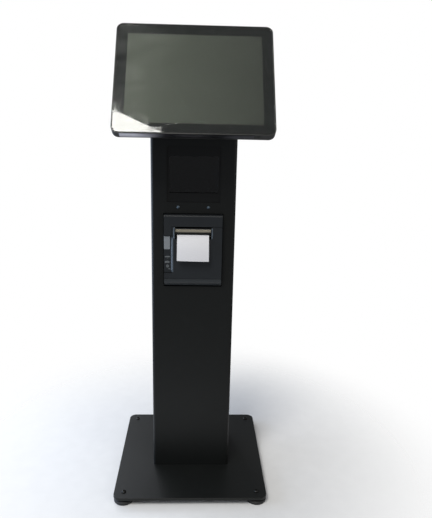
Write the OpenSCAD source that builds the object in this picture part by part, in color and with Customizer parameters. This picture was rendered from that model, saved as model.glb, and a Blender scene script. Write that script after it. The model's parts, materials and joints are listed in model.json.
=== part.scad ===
// Self-service ticket kiosk: tilted touch monitor, scanner and ticket printer on a folded column.
// Millimetres, +Z up, front towards -Y. Origin on the floor below the centre of the base plate.

/* [Stand] */
// Width and depth of the square base plate
base_w = 400; // [360:1:480]
// Thickness of the base plate
base_t = 8; // [5:0.5:12]
// Corner radius of the base plate
base_corner = 20; // [5:1:40]
// Height of a levelling foot below the plate
foot_h = 15; // [13:1:22]
// Radius of a levelling foot
foot_r = 26; // [20:1:32]
// Distance of a foot's centre from the plate's edges
foot_inset = 26; // [20:1:60]
// Radius of the bolt in each foot
foot_bolt_r = 4; // [3:0.5:5]
// Radius of the domed head of a foot bolt
foot_head_r = 6; // [5.5:0.5:8]

/* [Column] */
// Width of the column
col_w = 210; // [205:1:252]
// Depth of the column
col_d = 170; // [160:1:204]
// Distance of the column's front face ahead of the plate's centre
col_front = 62; // [55:1:80]
// Height of the column's top edge above the floor
col_top = 1000; // [960:1:1200]
// Thickness of the column's steel sheet
sheet = 2; // [1:0.5:3]
// Outside radius of the column's front bends
bend_r = 8; // [4:0.5:12]
// Width of the return flanges along the column's open back
return_w = 20; // [16:1:25]
// Height of the fixed panel at the foot of the back
panel_h = 66; // [60:1:90]
// Length of one door hinge
hinge_len = 60; // [40:1:80]
// Thickness of the flange plate that joins the column to the base
flange_t = 5; // [4:0.5:8]

/* [Scanner] */
// Width of the scanner opening
scan_w = 132; // [120:1:150]
// Height of the scanner opening
scan_h = 137.5; // [130:0.5:145]
// Height of the opening's lower edge above the floor
scan_z = 771.5; // [765:0.5:790]
// Corner radius at the top of the scanner opening
scan_corner = 8; // [2:0.5:12]
// Depth of the scanner housing
scan_d = 87; // [80:1:100]
// Height of the scanner window
window_h = 86; // [80:1:95]
// Distance between the two dome screws
screw_pitch = 75; // [60:1:90]

/* [Printer] */
// Width of the printer
prn_w = 145; // [142:1:160]
// Height of the printer's visible face
prn_h = 186; // [184:1:200]
// Depth of the printer
prn_d = 148; // [140:1:160]
// Height of the printer's lower edge above the floor
prn_z = 556; // [500:1:560]
// Distance the printer stands proud of the column
prn_proud = 14; // [10:1:16]
// Wall of the printer's mouldings
wall = 2.5; // [2:0.1:3]
// Radius of the rounded lower edge of the printer
prn_round = 20; // [12:1:21]
// Width of the paper
paper_w = 79.5; // [70:0.5:80]
// Radius of a new paper roll
roll_r = 40; // [25:1:40]
// Length of ticket that hangs below the slot
ticket_drop = 60; // [30:1:90]

/* [Monitor] */
// Width of the monitor
mon_w = 356; // [340:1:427]
// Height of the monitor
mon_h = 280; // [268:1:290]
// Corner radius of the monitor
mon_corner = 16; // [6:1:24]
// Depth of the monitor's front frame
frame_d = 20; // [18:1:26]
// Depth of the whole monitor
mon_d = 58; // [54:1:70]
// Lean of the monitor back from the vertical
mon_tilt = 32; // [20:1:40]
// Height of the screen's centre above the column's top edge
mon_rise = 60; // [55:1:80]
// Distance of the screen's centre ahead of the plate's centre
mon_front = 125; // [120:1:140]

/* [Fits] */
// Radial clearance of shafts in their bores
run = 0.05; // [0.02:0.01:0.1]
// Gap between neighbouring covers
gap = 0.5; // [0.3:0.1:1]

/* [Hidden] */
$fn = 64;
plate_top = foot_h + base_t;
front_y = -col_front;
back_y = col_d - col_front;
inner_w = col_w - 2 * sheet;
foot_at = base_w / 2 - foot_inset;
bolt_clear = 0.2;
foot_bore = foot_bolt_r + 0.1;

// Rear door, its hinges and lock
hinge_x = -col_w / 2 + 11;
hinge_y = back_y + 4;
knuckle_r = 3.5;
hinge_pin_r = 1.5;
door_z = plate_top + panel_h + 12;
door_top = col_top - 8;
lock_x = col_w / 2 - 33;
lock_z = (door_z + door_top) / 2;
lock_r = 9;
plug_r = 6;

// Fixed rear panel
panel_z = plate_top + 6;
panel_mid = panel_z + panel_h / 2;
inlet_x = -30;
grommet_x = 45;
grommet_bore = 7;

// Scanner
scan_top = scan_z + scan_h;
scan_in_y = front_y + sheet;
bezel_t = 3;
bezel_m = 3;
shell_y = scan_in_y + bezel_t;
shell_w = scan_w + 2 * bezel_m;
shell_wall = 2.5;
window_z = scan_z + 26;
window_w = scan_w - 12;
poly_y = shell_y + 55;
poly_r = 15;
shell_floor = scan_z - bezel_m + shell_wall;
screw_z = scan_z - 12.5;

// Printer
prn_y = front_y - prn_proud;
prn_top = prn_z + prn_h;
prn_back = prn_y + prn_d;
prn_in = prn_w / 2 - wall;
split_y = front_y - 1;
band_top = prn_z + 21.8;
cover_z = band_top + 0.8;
cover_axis_y = prn_y + 6.5;
cover_axis_z = cover_z + 5.4;
cover_pin_r = 2;
slot_z = prn_z + 141;
head_z = slot_z + 15;
notch_w = 94;
notch_z = slot_z - 16;
strip_x = -prn_w / 2 + 19.3;
strip_z = prn_z + 36.5;
strip_top = prn_z + 134;
strip_y = prn_y + 5;
platen_r = 6;
platen_y = prn_y + 14;
platen_z = slot_z - 0.5 - platen_r;
platen_pin_r = 2.5;
gear_m = 0.8;
platen_teeth = 20;
idler_teeth = 24;
pinion_teeth = 14;
idler_y = platen_y + gear_m * (platen_teeth + idler_teeth) / 2;
pinion_y = idler_y + gear_m * (idler_teeth + pinion_teeth) / 2;
side_x = 50;
gear_x = side_x + 2.5;
gear_t = 4;
roll_y = prn_y + 22 + roll_r;
roll_z = prn_z + 28 + roll_r;
core_r = 6.35;
hub_r = core_r - 0.1;
hold_x = paper_w / 2 + 0.75;
ticket_t = 0.4;
ticket_y = prn_y - 17;
ticket_bend = 9;

// Monitor and its tilting mount, measured along the monitor's own depth
mon_z = col_top + mon_rise;
cap_t = 2.5;
glass_t = 3;
rim = 2;
lcd_t = 10;
step_d = frame_d + 14;
cover_wall = 2.5;
vesa = 100;
vesa_t = 3;
axis_d = mon_d + 22;
axis_y = -mon_front + axis_d * cos(mon_tilt);
axis_z = mon_z - axis_d * sin(mon_tilt);
ear_x = 40;
tilt_bolt_r = 4;

// ---- shared shapes ----

// A box from its lowest corner to its highest
module span(a, b) { translate(a) cube(b - a); }

// A flat shape drawn in Y and Z, given a thickness along X
module along_x(x, len) { translate([x, 0, 0]) rotate([90, 0, 90]) linear_extrude(len) children(); }

// A round bar along X or Y from its start
module bar_x(x, y, z, r, len) { translate([x, y, z]) rotate([0, 90, 0]) cylinder(h = len, r = r); }
module bar_y(x, y, z, r, len) { translate([x, y, z]) rotate([-90, 0, 0]) cylinder(h = len, r = r); }

// A rectangle with round corners, centred, from two bars and four discs
module round_rect(w, h, r) {
    translate([-w / 2 + r, -h / 2]) square([w - 2 * r, h]);
    translate([-w / 2, -h / 2 + r]) square([w, h - 2 * r]);
    for (x = [-1, 1], y = [-1, 1]) translate([x * (w / 2 - r), y * (h / 2 - r)]) circle(r);
}

// A low dome of radius r and height h standing on z = 0
module dome(r, h) {
    ball = (r * r + h * h) / (2 * h);
    intersection() {
        cylinder(h = h, r = r);
        translate([0, 0, h - ball]) sphere(ball, $fn = 96);
    }
}

// Copies at the four corners of a rectangle
module at_corners(x, y) { for (i = [-1, 1], j = [-1, 1]) translate([i * x, j * y, 0]) children(); }

// ---- base ----

module base_plate() {
    color("#2c2d2c") difference() {
        translate([0, 0, foot_h]) linear_extrude(base_t) round_rect(base_w, base_w, base_corner);
        at_corners(foot_at, foot_at) cylinder(h = plate_top + 1, r = foot_bolt_r + bolt_clear);
        flange_bolt_places() cylinder(h = plate_top + 1, r = 4 + bolt_clear);
    }
}

// Domed bolts that pass down through the plate into the feet
module foot_bolts() {
    head_h = 4;
    socket_r = 2.6;
    color("#5a5c5e") at_corners(foot_at, foot_at) difference() {
        union() {
            translate([0, 0, plate_top]) dome(foot_head_r, head_h);
            translate([0, 0, 3.5]) cylinder(h = plate_top - 3.5, r = foot_bolt_r);
        }
        translate([0, 0, plate_top + head_h - 2]) cylinder(h = 3, r = socket_r, $fn = 6);
    }
}

// A levelling foot: wide pad, sloping shoulder and a neck with a blind bore for its bolt
module foot(x, y) {
    neck_r = 14;
    color("#1c1c1d") translate([x * foot_at, y * foot_at, 0]) difference() {
        rotate_extrude($fn = 96) polygon([[0, 0], [foot_r - 1.5, 0], [foot_r, 1.5], [foot_r, 7],
            [foot_r - 3, 9.5], [neck_r + 2, 11], [neck_r, foot_h], [0, foot_h]]);
        translate([0, 0, 3]) cylinder(h = foot_h, r = foot_bore);
    }
}
module foot_front_left() { foot(-1, -1); }
module foot_front_right() { foot(1, -1); }
module foot_rear_left() { foot(-1, 1); }
module foot_rear_right() { foot(1, 1); }

// The four bolts that clamp the column's flange to the plate
module flange_bolt_places() {
    for (x = [-1, 1], y = [front_y + 32, back_y - 28])
        translate([x * (inner_w / 2 - 28), y, 0]) children();
}

// Flange plate inside the column's foot, with a turned-up edge on each side
module base_flange() {
    upstand = 40;
    color("#3a3b3c") difference() {
        union() {
            span([-inner_w / 2, front_y + sheet, plate_top],
                [inner_w / 2, back_y - sheet, plate_top + flange_t]);
            for (s = [-1, 1]) span([s * (inner_w - sheet) / 2 - sheet / 2, front_y + bend_r, plate_top],
                [s * (inner_w - sheet) / 2 + sheet / 2, back_y - sheet, plate_top + flange_t + upstand]);
        }
        for (s = [-1, 1]) span([s * inner_w / 2 - bend_r, front_y, 0],
            [s * inner_w / 2 + bend_r, front_y + bend_r, plate_top + flange_t + 1]);
        flange_bolt_places() cylinder(h = plate_top + flange_t + 1, r = 4 + bolt_clear);
    }
}

// Hexagon bolts from below, each with its nut on top of the flange
module flange_bolts() {
    head_h = 5.3;
    nut_h = 6.5;
    color("#8b8f92") flange_bolt_places() {
        translate([0, 0, foot_h - head_h]) cylinder(h = head_h, r = 7.5, $fn = 6);
        translate([0, 0, foot_h]) cylinder(h = base_t + flange_t + nut_h + 2, r = 4);
        translate([0, 0, plate_top + flange_t]) difference() {
            cylinder(h = nut_h, r = 7.5, $fn = 6);
            translate([0, 0, -1]) cylinder(h = nut_h + 2, r = 4.02);
        }
    }
}

// ---- column ----

// The column's plan: square at the back, bent with a radius at the front corners
module column_plan(w, y0, y1, r) {
    translate([-w / 2 + r, y0]) square([w - 2 * r, y1 - y0]);
    translate([-w / 2, y0 + r]) square([w, y1 - y0 - r]);
    for (s = [-1, 1]) translate([s * (w / 2 - r), y0 + r]) circle(r);
}

// The scanner opening's outline in X and Z, grown by m: round corners at the top only
module scan_outline(m) {
    w = scan_w + 2 * m;
    h = scan_h + 2 * m;
    r = scan_corner + m;
    translate([-w / 2, scan_z - m]) square([w, h - r]);
    translate([-w / 2 + r, scan_z - m]) square([w - 2 * r, h]);
    for (s = [-1, 1]) translate([s * (w / 2 - r), scan_top + m - r]) circle(r);
}

// A flat shape drawn in X and Z, given a thickness along Y from y
module along_y(y, len) { translate([0, y + len, 0]) rotate([90, 0, 0]) linear_extrude(len) children(); }

module column_body() {
    color("#212322") difference() {
        translate([0, 0, plate_top]) linear_extrude(col_top - plate_top)
            column_plan(col_w, front_y, back_y, bend_r);
        translate([0, 0, plate_top - 1]) linear_extrude(col_top - plate_top + 2)
            column_plan(inner_w, front_y + sheet, back_y - sheet, bend_r - sheet);
        span([-col_w / 2 + return_w, back_y - sheet - 1, plate_top - 1],
            [col_w / 2 - return_w, back_y + 1, col_top + 1]);
        along_y(front_y - 1, sheet + 2) scan_outline(0);
        span([-prn_w / 2 - 2, front_y - 1, prn_z - 2],
            [prn_w / 2 + 2, front_y + sheet + 1, prn_top + 2]);
        for (s = [-1, 1]) bar_y(s * screw_pitch / 2, front_y - 1, screw_z, 2 + bolt_clear, sheet + 2);
    }
}

// Plate that closes the column's top, with a hole for the monitor's leads
module top_cap() {
    color("#212322") difference() {
        translate([0, 0, col_top]) linear_extrude(cap_t) column_plan(col_w, front_y, back_y, bend_r);
        translate([0, back_y - 55, col_top - 1]) cylinder(h = cap_t + 2, r = 16);
    }
}

// ---- back: fixed panel, mains inlet, door ----

module rear_panel() {
    w = col_w - 10;
    color("#212322") difference() {
        span([-w / 2, back_y, panel_z], [w / 2, back_y + sheet, panel_z + panel_h]);
        inlet_hole(0.2);
        bar_y(grommet_x, back_y - 1, panel_mid, grommet_bore + 3 + run, sheet + 2);
    }
}

// The space in the panel that the inlet's body fills, grown by m
inlet_w = 28;
inlet_h = 47;
module inlet_hole(m) {
    span([inlet_x - inlet_w / 2 - m, back_y - 1, panel_mid - inlet_h / 2 - m],
        [inlet_x + inlet_w / 2 + m, back_y + sheet + 1, panel_mid + inlet_h / 2 + m]);
}

// Appliance inlet with three blades below and the rocker's pocket above, in one moulding
rocker_y = back_y + sheet;
rocker_z = panel_mid + 11;
rocker_half = 4.9;
module mains_inlet() {
    body_d = 20;
    face = back_y + sheet + 2.5;
    plug_z = panel_mid - 11;
    color("#161616") difference() {
        union() {
            span([inlet_x - inlet_w / 2, back_y - body_d, panel_mid - inlet_h / 2],
                [inlet_x + inlet_w / 2, face, panel_mid + inlet_h / 2]);
            span([inlet_x - inlet_w / 2 - 3, back_y + sheet, panel_mid - inlet_h / 2 - 3],
                [inlet_x + inlet_w / 2 + 3, face, panel_mid + inlet_h / 2 + 3]);
        }
        difference() {
            span([inlet_x - 12, face - 17, plug_z - 8.5], [inlet_x + 12, face + 1, plug_z + 8.5]);
            for (p = [[-7, 2], [7, 2], [0, 5.5]])
                span([inlet_x + p[0] - 1, face - 18, plug_z + p[1] - 2],
                    [inlet_x + p[0] + 1, face - 3, plug_z + p[1] + 2]);
        }
        span([inlet_x - 8, rocker_y - 8, rocker_z - 6.7], [inlet_x + 8, face + 1, rocker_z + 6.7]);
        bar_x(inlet_x - 9, rocker_y, rocker_z, 1.2 + run, 18);
    }
}

// Rocker on two trunnions, lying with its lower edge out
module switch_rocker() {
    rest_turn = 7;
    color("#7d1f1c") {
        translate([0, rocker_y, rocker_z]) rotate([rest_turn, 0, 0])
            span([inlet_x - 7.6, -2, -rocker_half], [inlet_x + 7.6, 4.6, rocker_half]);
        bar_x(inlet_x - 8.8, rocker_y, rocker_z, 1.2, 17.6);
    }
}

// Rubber grommet in the panel, where data leads leave the column
module cable_grommet() {
    lip = 2;
    r = grommet_bore + 3;
    color("#1a1a1a") difference() {
        union() {
            bar_y(grommet_x, back_y - lip, panel_mid, r + 2.5, lip);
            bar_y(grommet_x, back_y - lip, panel_mid, r, sheet + 2 * lip);
            bar_y(grommet_x, back_y + sheet, panel_mid, r + 2.5, lip);
        }
        bar_y(grommet_x, back_y - lip - 1, panel_mid, grommet_bore, sheet + 2 * lip + 2);
    }
}

vent_rows = 8;
module rear_door() {
    rib_d = 10;
    rib_half = col_w / 2 - return_w - 7;
    color("#212322") difference() {
        union() {
            span([hinge_x + 4, back_y, door_z], [col_w / 2 - 3, back_y + sheet, door_top]);
            for (z = [door_z + 60, door_top - 60])
                span([-rib_half, back_y - rib_d, z], [rib_half, back_y, z + sheet]);
        }
        bar_y(lock_x, back_y - 1, lock_z, lock_r + bolt_clear, sheet + 2);
        for (z = [door_z + 80, door_top - 80 - vent_rows * 10], i = [0:vent_rows - 1])
            span([-45, back_y - 1, z + i * 10], [45, back_y + sheet + 1, z + i * 10 + 4]);
    }
}

function hinge_starts() = [door_z + 20, (door_z + door_top - hinge_len) / 2, door_top - 20 - hinge_len];

// One knuckle: the barrel round the pin and the web that joins it to its leaf
module knuckle(z0, len, web_x, web_y) {
    translate([0, 0, z0]) difference() {
        union() {
            translate([hinge_x, hinge_y, 0]) cylinder(h = len, r = knuckle_r);
            span([min(web_x, hinge_x), web_y, 0], [max(web_x, hinge_x), web_y + 1.5, len]);
        }
        translate([hinge_x, hinge_y, -1]) cylinder(h = len + 2, r = hinge_pin_r + run);
    }
}

// Leaves on the column with their pins, which are held at both ends by small heads
module hinge_leaves_fixed() {
    part_len = hinge_len / 3;
    color("#3a3c3e") for (z = hinge_starts()) {
        span([-col_w / 2 + 1, back_y, z], [hinge_x - 4, back_y + 1.5, z + hinge_len]);
        knuckle(z, part_len - 0.2, hinge_x - 4.5, back_y);
        knuckle(z + 2 * part_len + 0.2, part_len - 0.2, hinge_x - 4.5, back_y);
        translate([hinge_x, hinge_y, z]) cylinder(h = hinge_len, r = hinge_pin_r);
        for (e = [z - 1, z + hinge_len]) translate([hinge_x, hinge_y, e]) cylinder(h = 1, r = 2.5);
    }
}

module hinge_leaves_door() {
    part_len = hinge_len / 3;
    leaf_y = back_y + sheet;
    color("#3a3c3e") for (z = hinge_starts()) {
        span([hinge_x + 4, leaf_y, z], [hinge_x + 16, leaf_y + 1.5, z + hinge_len]);
        knuckle(z + part_len + 0.2, part_len - 0.4, hinge_x + 4.5, leaf_y);
    }
}

// Cam lock: flanged barrel in the door with its ring nut
module lock_barrel() {
    color("#a4a7a9") {
        difference() {
            union() {
                bar_y(lock_x, back_y + sheet, lock_z, lock_r + 3, 2.5);
                bar_y(lock_x, back_y - 5, lock_z, lock_r, sheet + 5);
            }
            bar_y(lock_x, back_y - 6, lock_z, plug_r + run, sheet + 10);
        }
        difference() {
            bar_y(lock_x, back_y - 3, lock_z, lock_r + 4, 3);
            bar_y(lock_x, back_y - 4, lock_z, lock_r + 0.02, 5);
        }
    }
}

// Turning plug with its key slot, and the cam that hangs down while unlocked
module lock_plug() {
    cam_y = back_y - 7.2;
    color("#b9bcbe") difference() {
        union() {
            bar_y(lock_x, cam_y, lock_z, plug_r, back_y + sheet + 2.5 - cam_y);
            bar_y(lock_x, cam_y, lock_z, plug_r + 1, 2);
            span([lock_x - 6, cam_y, lock_z - 26], [lock_x + 6, cam_y + 2, lock_z]);
        }
        span([lock_x - 0.7, back_y - 1, lock_z - 4], [lock_x + 0.7, back_y + sheet + 4, lock_z + 4]);
    }
}

// Enclosed mains power supply on the column's side wall, with its terminal block
module power_supply() {
    x = -inner_w / 2;
    z = plate_top + 130;
    color("#9a9da0") difference() {
        span([x, back_y - 100, z], [x + 40, back_y - 20, z + 130]);
        for (i = [0:8]) span([x + 32, back_y - 88, z + 30 + i * 10], [x + 41, back_y - 32, z + 35 + i * 10]);
    }
    color("#2b5b3a") span([x + 4, back_y - 90, z - 12], [x + 24, back_y - 30, z]);
}

// ---- tilting mount ----

// Places a shape drawn in the monitor's own axes: X across, Y its depth, Z up its face
module monitor_place() { translate([0, -mon_front, mon_z]) rotate([-mon_tilt, 0, 0]) children(); }

// Fixed bracket on the cap: a base plate and two ears
module tilt_bracket() {
    base_top = col_top + cap_t + 4;
    ear_r = 11.5;
    ear_t = 4;
    color("#2b2c2d") difference() {
        union() {
            span([-ear_x - ear_t, front_y + 2, col_top + cap_t], [ear_x + ear_t, front_y + 72, base_top]);
            for (s = [0, 1]) along_x(s == 0 ? ear_x : -ear_x - ear_t, ear_t) {
                translate([axis_y, axis_z]) circle(ear_r);
                translate([front_y + 2, col_top + cap_t]) square([50, max(axis_z - col_top - cap_t, 6)]);
            }
        }
        bar_x(-ear_x - ear_t - 1, axis_y, axis_z, tilt_bolt_r + run, 2 * (ear_x + ear_t) + 2);
        translate([0, front_y + 50, col_top]) cylinder(h = 10, r = 12);
    }
}

// One bolt with its lock nut on each side
module tilt_bolts() {
    color("#8b8f92") for (s = [0, 1]) mirror([s, 0, 0]) {
        bar_x(ear_x + 4, axis_y, axis_z, 7, 5);
        bar_x(ear_x - 14, axis_y, axis_z, tilt_bolt_r, 18);
        difference() {
            translate([ear_x - 12, axis_y, axis_z]) rotate([0, 90, 0]) cylinder(h = 7, r = 7, $fn = 6);
            bar_x(ear_x - 13, axis_y, axis_z, tilt_bolt_r + 0.02, 9);
        }
    }
}

// Moving bracket: a plate on the back of the monitor and two ears on the tilt bolts
module monitor_bracket() {
    half = vesa / 2 + 10;
    ear_r = 10;
    ear_t = 4;
    color("#2b2c2d") monitor_place() difference() {
        union() {
            span([-half, mon_d, -half], [half, mon_d + vesa_t, half]);
            for (s = [0, 1]) along_x(s == 0 ? ear_x - gap - ear_t : -ear_x + gap, ear_t) {
                translate([mon_d, -ear_r]) square([axis_d - mon_d, 2 * ear_r]);
                translate([axis_d, 0]) circle(ear_r);
            }
        }
        bar_x(-ear_x, axis_d, 0, tilt_bolt_r + run, 2 * ear_x);
        for (x = [-1, 1], z = [-1, 1]) bar_y(x * vesa / 2, mon_d - 1, z * vesa / 2, 2.1, vesa_t + 2);
    }
}

module vesa_screws() {
    color("#8b8f92") monitor_place() for (x = [-1, 1], z = [-1, 1]) {
        bar_y(x * vesa / 2, mon_d - 8, z * vesa / 2, 2, vesa_t + 8);
        translate([x * vesa / 2, mon_d + vesa_t, z * vesa / 2]) rotate([-90, 0, 0]) dome(4, 2.4);
    }
}

// ---- monitor ----

// A block with round corners in the monitor's own axes, from depth a to depth b
module panel(w, h, r, a, b) { along_y(a, b - a) round_rect(w, h, r); }

button_x = mon_w / 2 - 38;
button_d = 10;
module monitor_frame() {
    inner = 26;
    color("#2e302d") monitor_place() difference() {
        panel(mon_w, mon_h, mon_corner, 0, frame_d);
        panel(mon_w - 2 * rim, mon_h - 2 * rim, mon_corner - rim, -1, glass_t);
        panel(mon_w - inner, mon_h - inner, 4, 0, frame_d + 1);
        translate([button_x, button_d, -mon_h / 2 - 1]) cylinder(h = 7, r = 4.2);
    }
}

// Cover glass that fills the front up to the thin rim
module touch_glass() {
    color("#343632") monitor_place()
        panel(mon_w - 2 * rim - 0.4, mon_h - 2 * rim - 0.4, mon_corner - rim - 0.2, 0, glass_t);
}

module lcd_panel() {
    color("#43463f") monitor_place()
        panel(mon_w - 30, mon_h - 30, 3, glass_t, glass_t + lcd_t);
}

// Stepped rear shell: a shallow step round the edge and a deeper box in the middle
module monitor_rear_cover() {
    w = mon_w - 16;
    h = mon_h - 16;
    box_w = mon_w - 106;
    box_h = mon_h - 90;
    t = cover_wall;
    color("#232423") monitor_place() difference() {
        union() {
            panel(w, h, mon_corner - 2, frame_d, step_d);
            panel(box_w, box_h, 10, frame_d, mon_d);
        }
        panel(w - 2 * t, h - 2 * t, mon_corner - 4.5, frame_d - 1, step_d - t);
        panel(box_w - 2 * t, box_h - 2 * t, 7.5, frame_d - 1, mon_d - t);
        for (x = [-1, 1], z = [-1, 1]) bar_y(x * vesa / 2, mon_d - t - 1, z * vesa / 2, 2.1, t + 2);
        for (i = [-6:6])
            span([i * 14 - 3, step_d + 4, box_h / 2 - t - 1], [i * 14 + 3, mon_d - 6, box_h / 2 + 1]);
    }
}

board_d = frame_d;
module main_board() {
    color("#2c5a3c") monitor_place() {
        span([-85, board_d, -70], [85, board_d + 1.6, 70]);
        for (x = [-1, 1], z = [-1, 1])
            bar_y(x * 78, glass_t + lcd_t, z * 62, 3, board_d - glass_t - lcd_t);
        for (i = [0:3]) span([-80 + i * 24, board_d + 1.6, -70], [-62 + i * 24, board_d + 13, -54]);
        span([25, board_d + 1.6, -50], [80, board_d + 6, -20]);
    }
}

// Finned cooler that stands on the board
module heat_sink() {
    base = board_d + 1.6;
    fins = 9;
    color("#a9acae") monitor_place() {
        span([-35, base, -5], [25, base + 4, 55]);
        for (i = [0:fins - 1])
            span([-35 + i * 7.3, base, -5], [-33.4 + i * 7.3, mon_d - cover_wall - 3, 55]);
    }
}

module power_button() {
    color("#3a3c3e") monitor_place()
        translate([button_x, button_d, -mon_h / 2 - 0.8]) cylinder(h = 5.4, r = 4);
}

// ---- scanner ----

// Frame behind the opening, with the window aperture between its upper band and its sloping sill
module scanner_bezel() {
    color("#161717") difference() {
        along_y(scan_in_y, bezel_t) scan_outline(bezel_m);
        span([-window_w / 2, scan_in_y - 1, window_z], [window_w / 2, shell_y + 1, window_z + window_h]);
        translate([0, scan_in_y, window_z]) rotate([30, 0, 0])
            span([-window_w / 2, -bezel_t, -bezel_t], [window_w / 2, bezel_t * 2, bezel_t * 0.4]);
    }
}

module scanner_window() {
    color("#191b1d") span([-window_w / 2 - 2.5, shell_y, window_z - 3],
        [window_w / 2 + 2.5, shell_y + 2, window_z + window_h + 3]);
}

module scanner_housing() {
    color("#121313") difference() {
        along_y(shell_y, scan_d) scan_outline(bezel_m);
        along_y(shell_y - 1, scan_d + 1 - shell_wall) scan_outline(bezel_m - shell_wall);
    }
}

// Two fixed fold mirrors: each stands on the wall beside the window and runs inwards to a point
module scanner_mirrors() {
    slant = 53;
    reach = 45;
    foot = 7.6;
    x0 = scan_w / 2 - 6;
    color("#c4c8ca") for (s = [0, 1]) mirror([s, 0, 0])
        translate([x0, shell_y + 8, 0]) rotate([0, 0, 180 - slant]) rotate([90, 0, 0]) linear_extrude(2)
            polygon([[-foot, window_z], [0, window_z + 1], [reach, window_z + 33],
                [0, window_z + window_h - 2], [-foot, window_z + window_h - 2]]);
}

module polygon_motor() {
    color("#6d7072") translate([0, poly_y, shell_floor]) {
        cylinder(h = 12, r = 16);
        cylinder(h = 28, r = 2);
        span([-22, -18, 0], [22, 18, 2]);
    }
}

module polygon_mirror() {
    color("#d4d8da") translate([0, poly_y, shell_floor + 12.3]) difference() {
        cylinder(h = 12, r = poly_r, $fn = 6);
        translate([0, 0, -1]) cylinder(h = 14, r = 2 + run);
    }
}

module laser_module() {
    color("#b08d4c") {
        span([34, poly_y - 8, shell_floor], [52, poly_y + 8, shell_floor + 24]);
        bar_x(29, poly_y, shell_floor + 18, 4, 5);
    }
}

module scanner_board() {
    y = shell_y + scan_d;
    mid = scan_z + scan_h / 2;
    color("#2c5a3c") {
        span([-50, y + 4, mid - 50], [50, y + 5.6, mid + 50]);
        for (x = [-1, 1], z = [-1, 1]) bar_y(x * 42, y, mid + z * 42, 3, 4);
        span([-12, y + 5.6, mid - 48], [12, y + 14, mid - 36]);
        span([-20, y + 5.6, mid - 5], [10, y + 7.6, mid + 25]);
    }
}

// Shelf bracket under the housing: its front edge turns down against the column's inside
module scanner_bracket() {
    half = screw_pitch / 2 + 13;
    top = scan_z - bezel_m;
    color("#6d7072") difference() {
        union() {
            span([-half, scan_in_y, top - 2], [half, shell_y + scan_d, top]);
            span([-half, scan_in_y, screw_z - 9], [half, scan_in_y + 2, top]);
        }
        for (s = [-1, 1]) bar_y(s * screw_pitch / 2, scan_in_y - 1, screw_z, 2 + bolt_clear, 4);
    }
}

module scanner_screws() {
    color("#8fa0aa") for (s = [-1, 1]) {
        translate([s * screw_pitch / 2, front_y, screw_z]) rotate([90, 0, 0]) dome(4.3, 2.6);
        bar_y(s * screw_pitch / 2, front_y, screw_z, 2, sheet + 7);
        difference() {
            translate([s * screw_pitch / 2, scan_in_y + 2, screw_z]) rotate([-90, 0, 0])
                cylinder(h = 3.2, r = 4, $fn = 6);
            bar_y(s * screw_pitch / 2, scan_in_y + 1, screw_z, 2.02, 6);
        }
    }
}

// ---- printer mouldings ----

// The printer's side outline in Y and Z, drawn in by m: large round lower front edge, small upper one
module printer_side(m) {
    y = prn_y + m;
    z = prn_z + m;
    w = prn_d - 2 * m;
    h = prn_h - 2 * m;
    low = prn_round - m;
    up = 5 - m;
    translate([y + low, z]) square([w - low, h]);
    translate([y, z + low]) square([low + 1, h - low - up]);
    translate([y + up, z + h / 2]) square([w / 2, h / 2]);
    translate([y + low, z + low]) circle(low);
    translate([y + up, z + h - up]) circle(up);
}

// The printer's outer block, and the space inside its walls
module printer_block() { along_x(-prn_w / 2, prn_w) printer_side(0); }
module printer_space() { along_x(-prn_w / 2 + wall, prn_w - 2 * wall) printer_side(wall); }

// Body of the printer, with an arm on each side that holds the roll cover's pin
module printer_case() {
    sweep = 8.8;
    color("#26292b") {
        difference() {
            printer_block();
            printer_space();
            span([-prn_w, prn_y - 1, band_top], [prn_w, split_y, prn_top + 1]);
            bar_x(-prn_w, cover_axis_y, cover_axis_z, sweep, 2 * prn_w);
        }
        for (s = [0, 1]) mirror([s, 0, 0]) {
            span([prn_in - 3, split_y + 2.5, cover_axis_z - 3], [prn_in, split_y + 14, cover_axis_z + 3]);
            span([prn_in - 3, cover_axis_y, cover_axis_z - 3],
                [prn_in - 0.5, split_y + 2.5, cover_axis_z + 3]);
            bar_x(prn_in - 3, cover_axis_y, cover_axis_z, 3.5, 2.5);
            bar_x(prn_in - 8, cover_axis_y, cover_axis_z, cover_pin_r, 6);
        }
    }
}

// Fixed cover above the ticket slot, with a leg down to the control strip
module slot_cover() {
    color("#2a2d2f") difference() {
        intersection() {
            printer_block();
            union() {
                span([-prn_w, prn_y - 1, head_z + 0.8], [prn_w, split_y, prn_top + 1]);
                span([-prn_w, prn_y - 1, strip_top + 0.5], [strip_x - gap, split_y, head_z + 1]);
            }
        }
        printer_space();
    }
}

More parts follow.
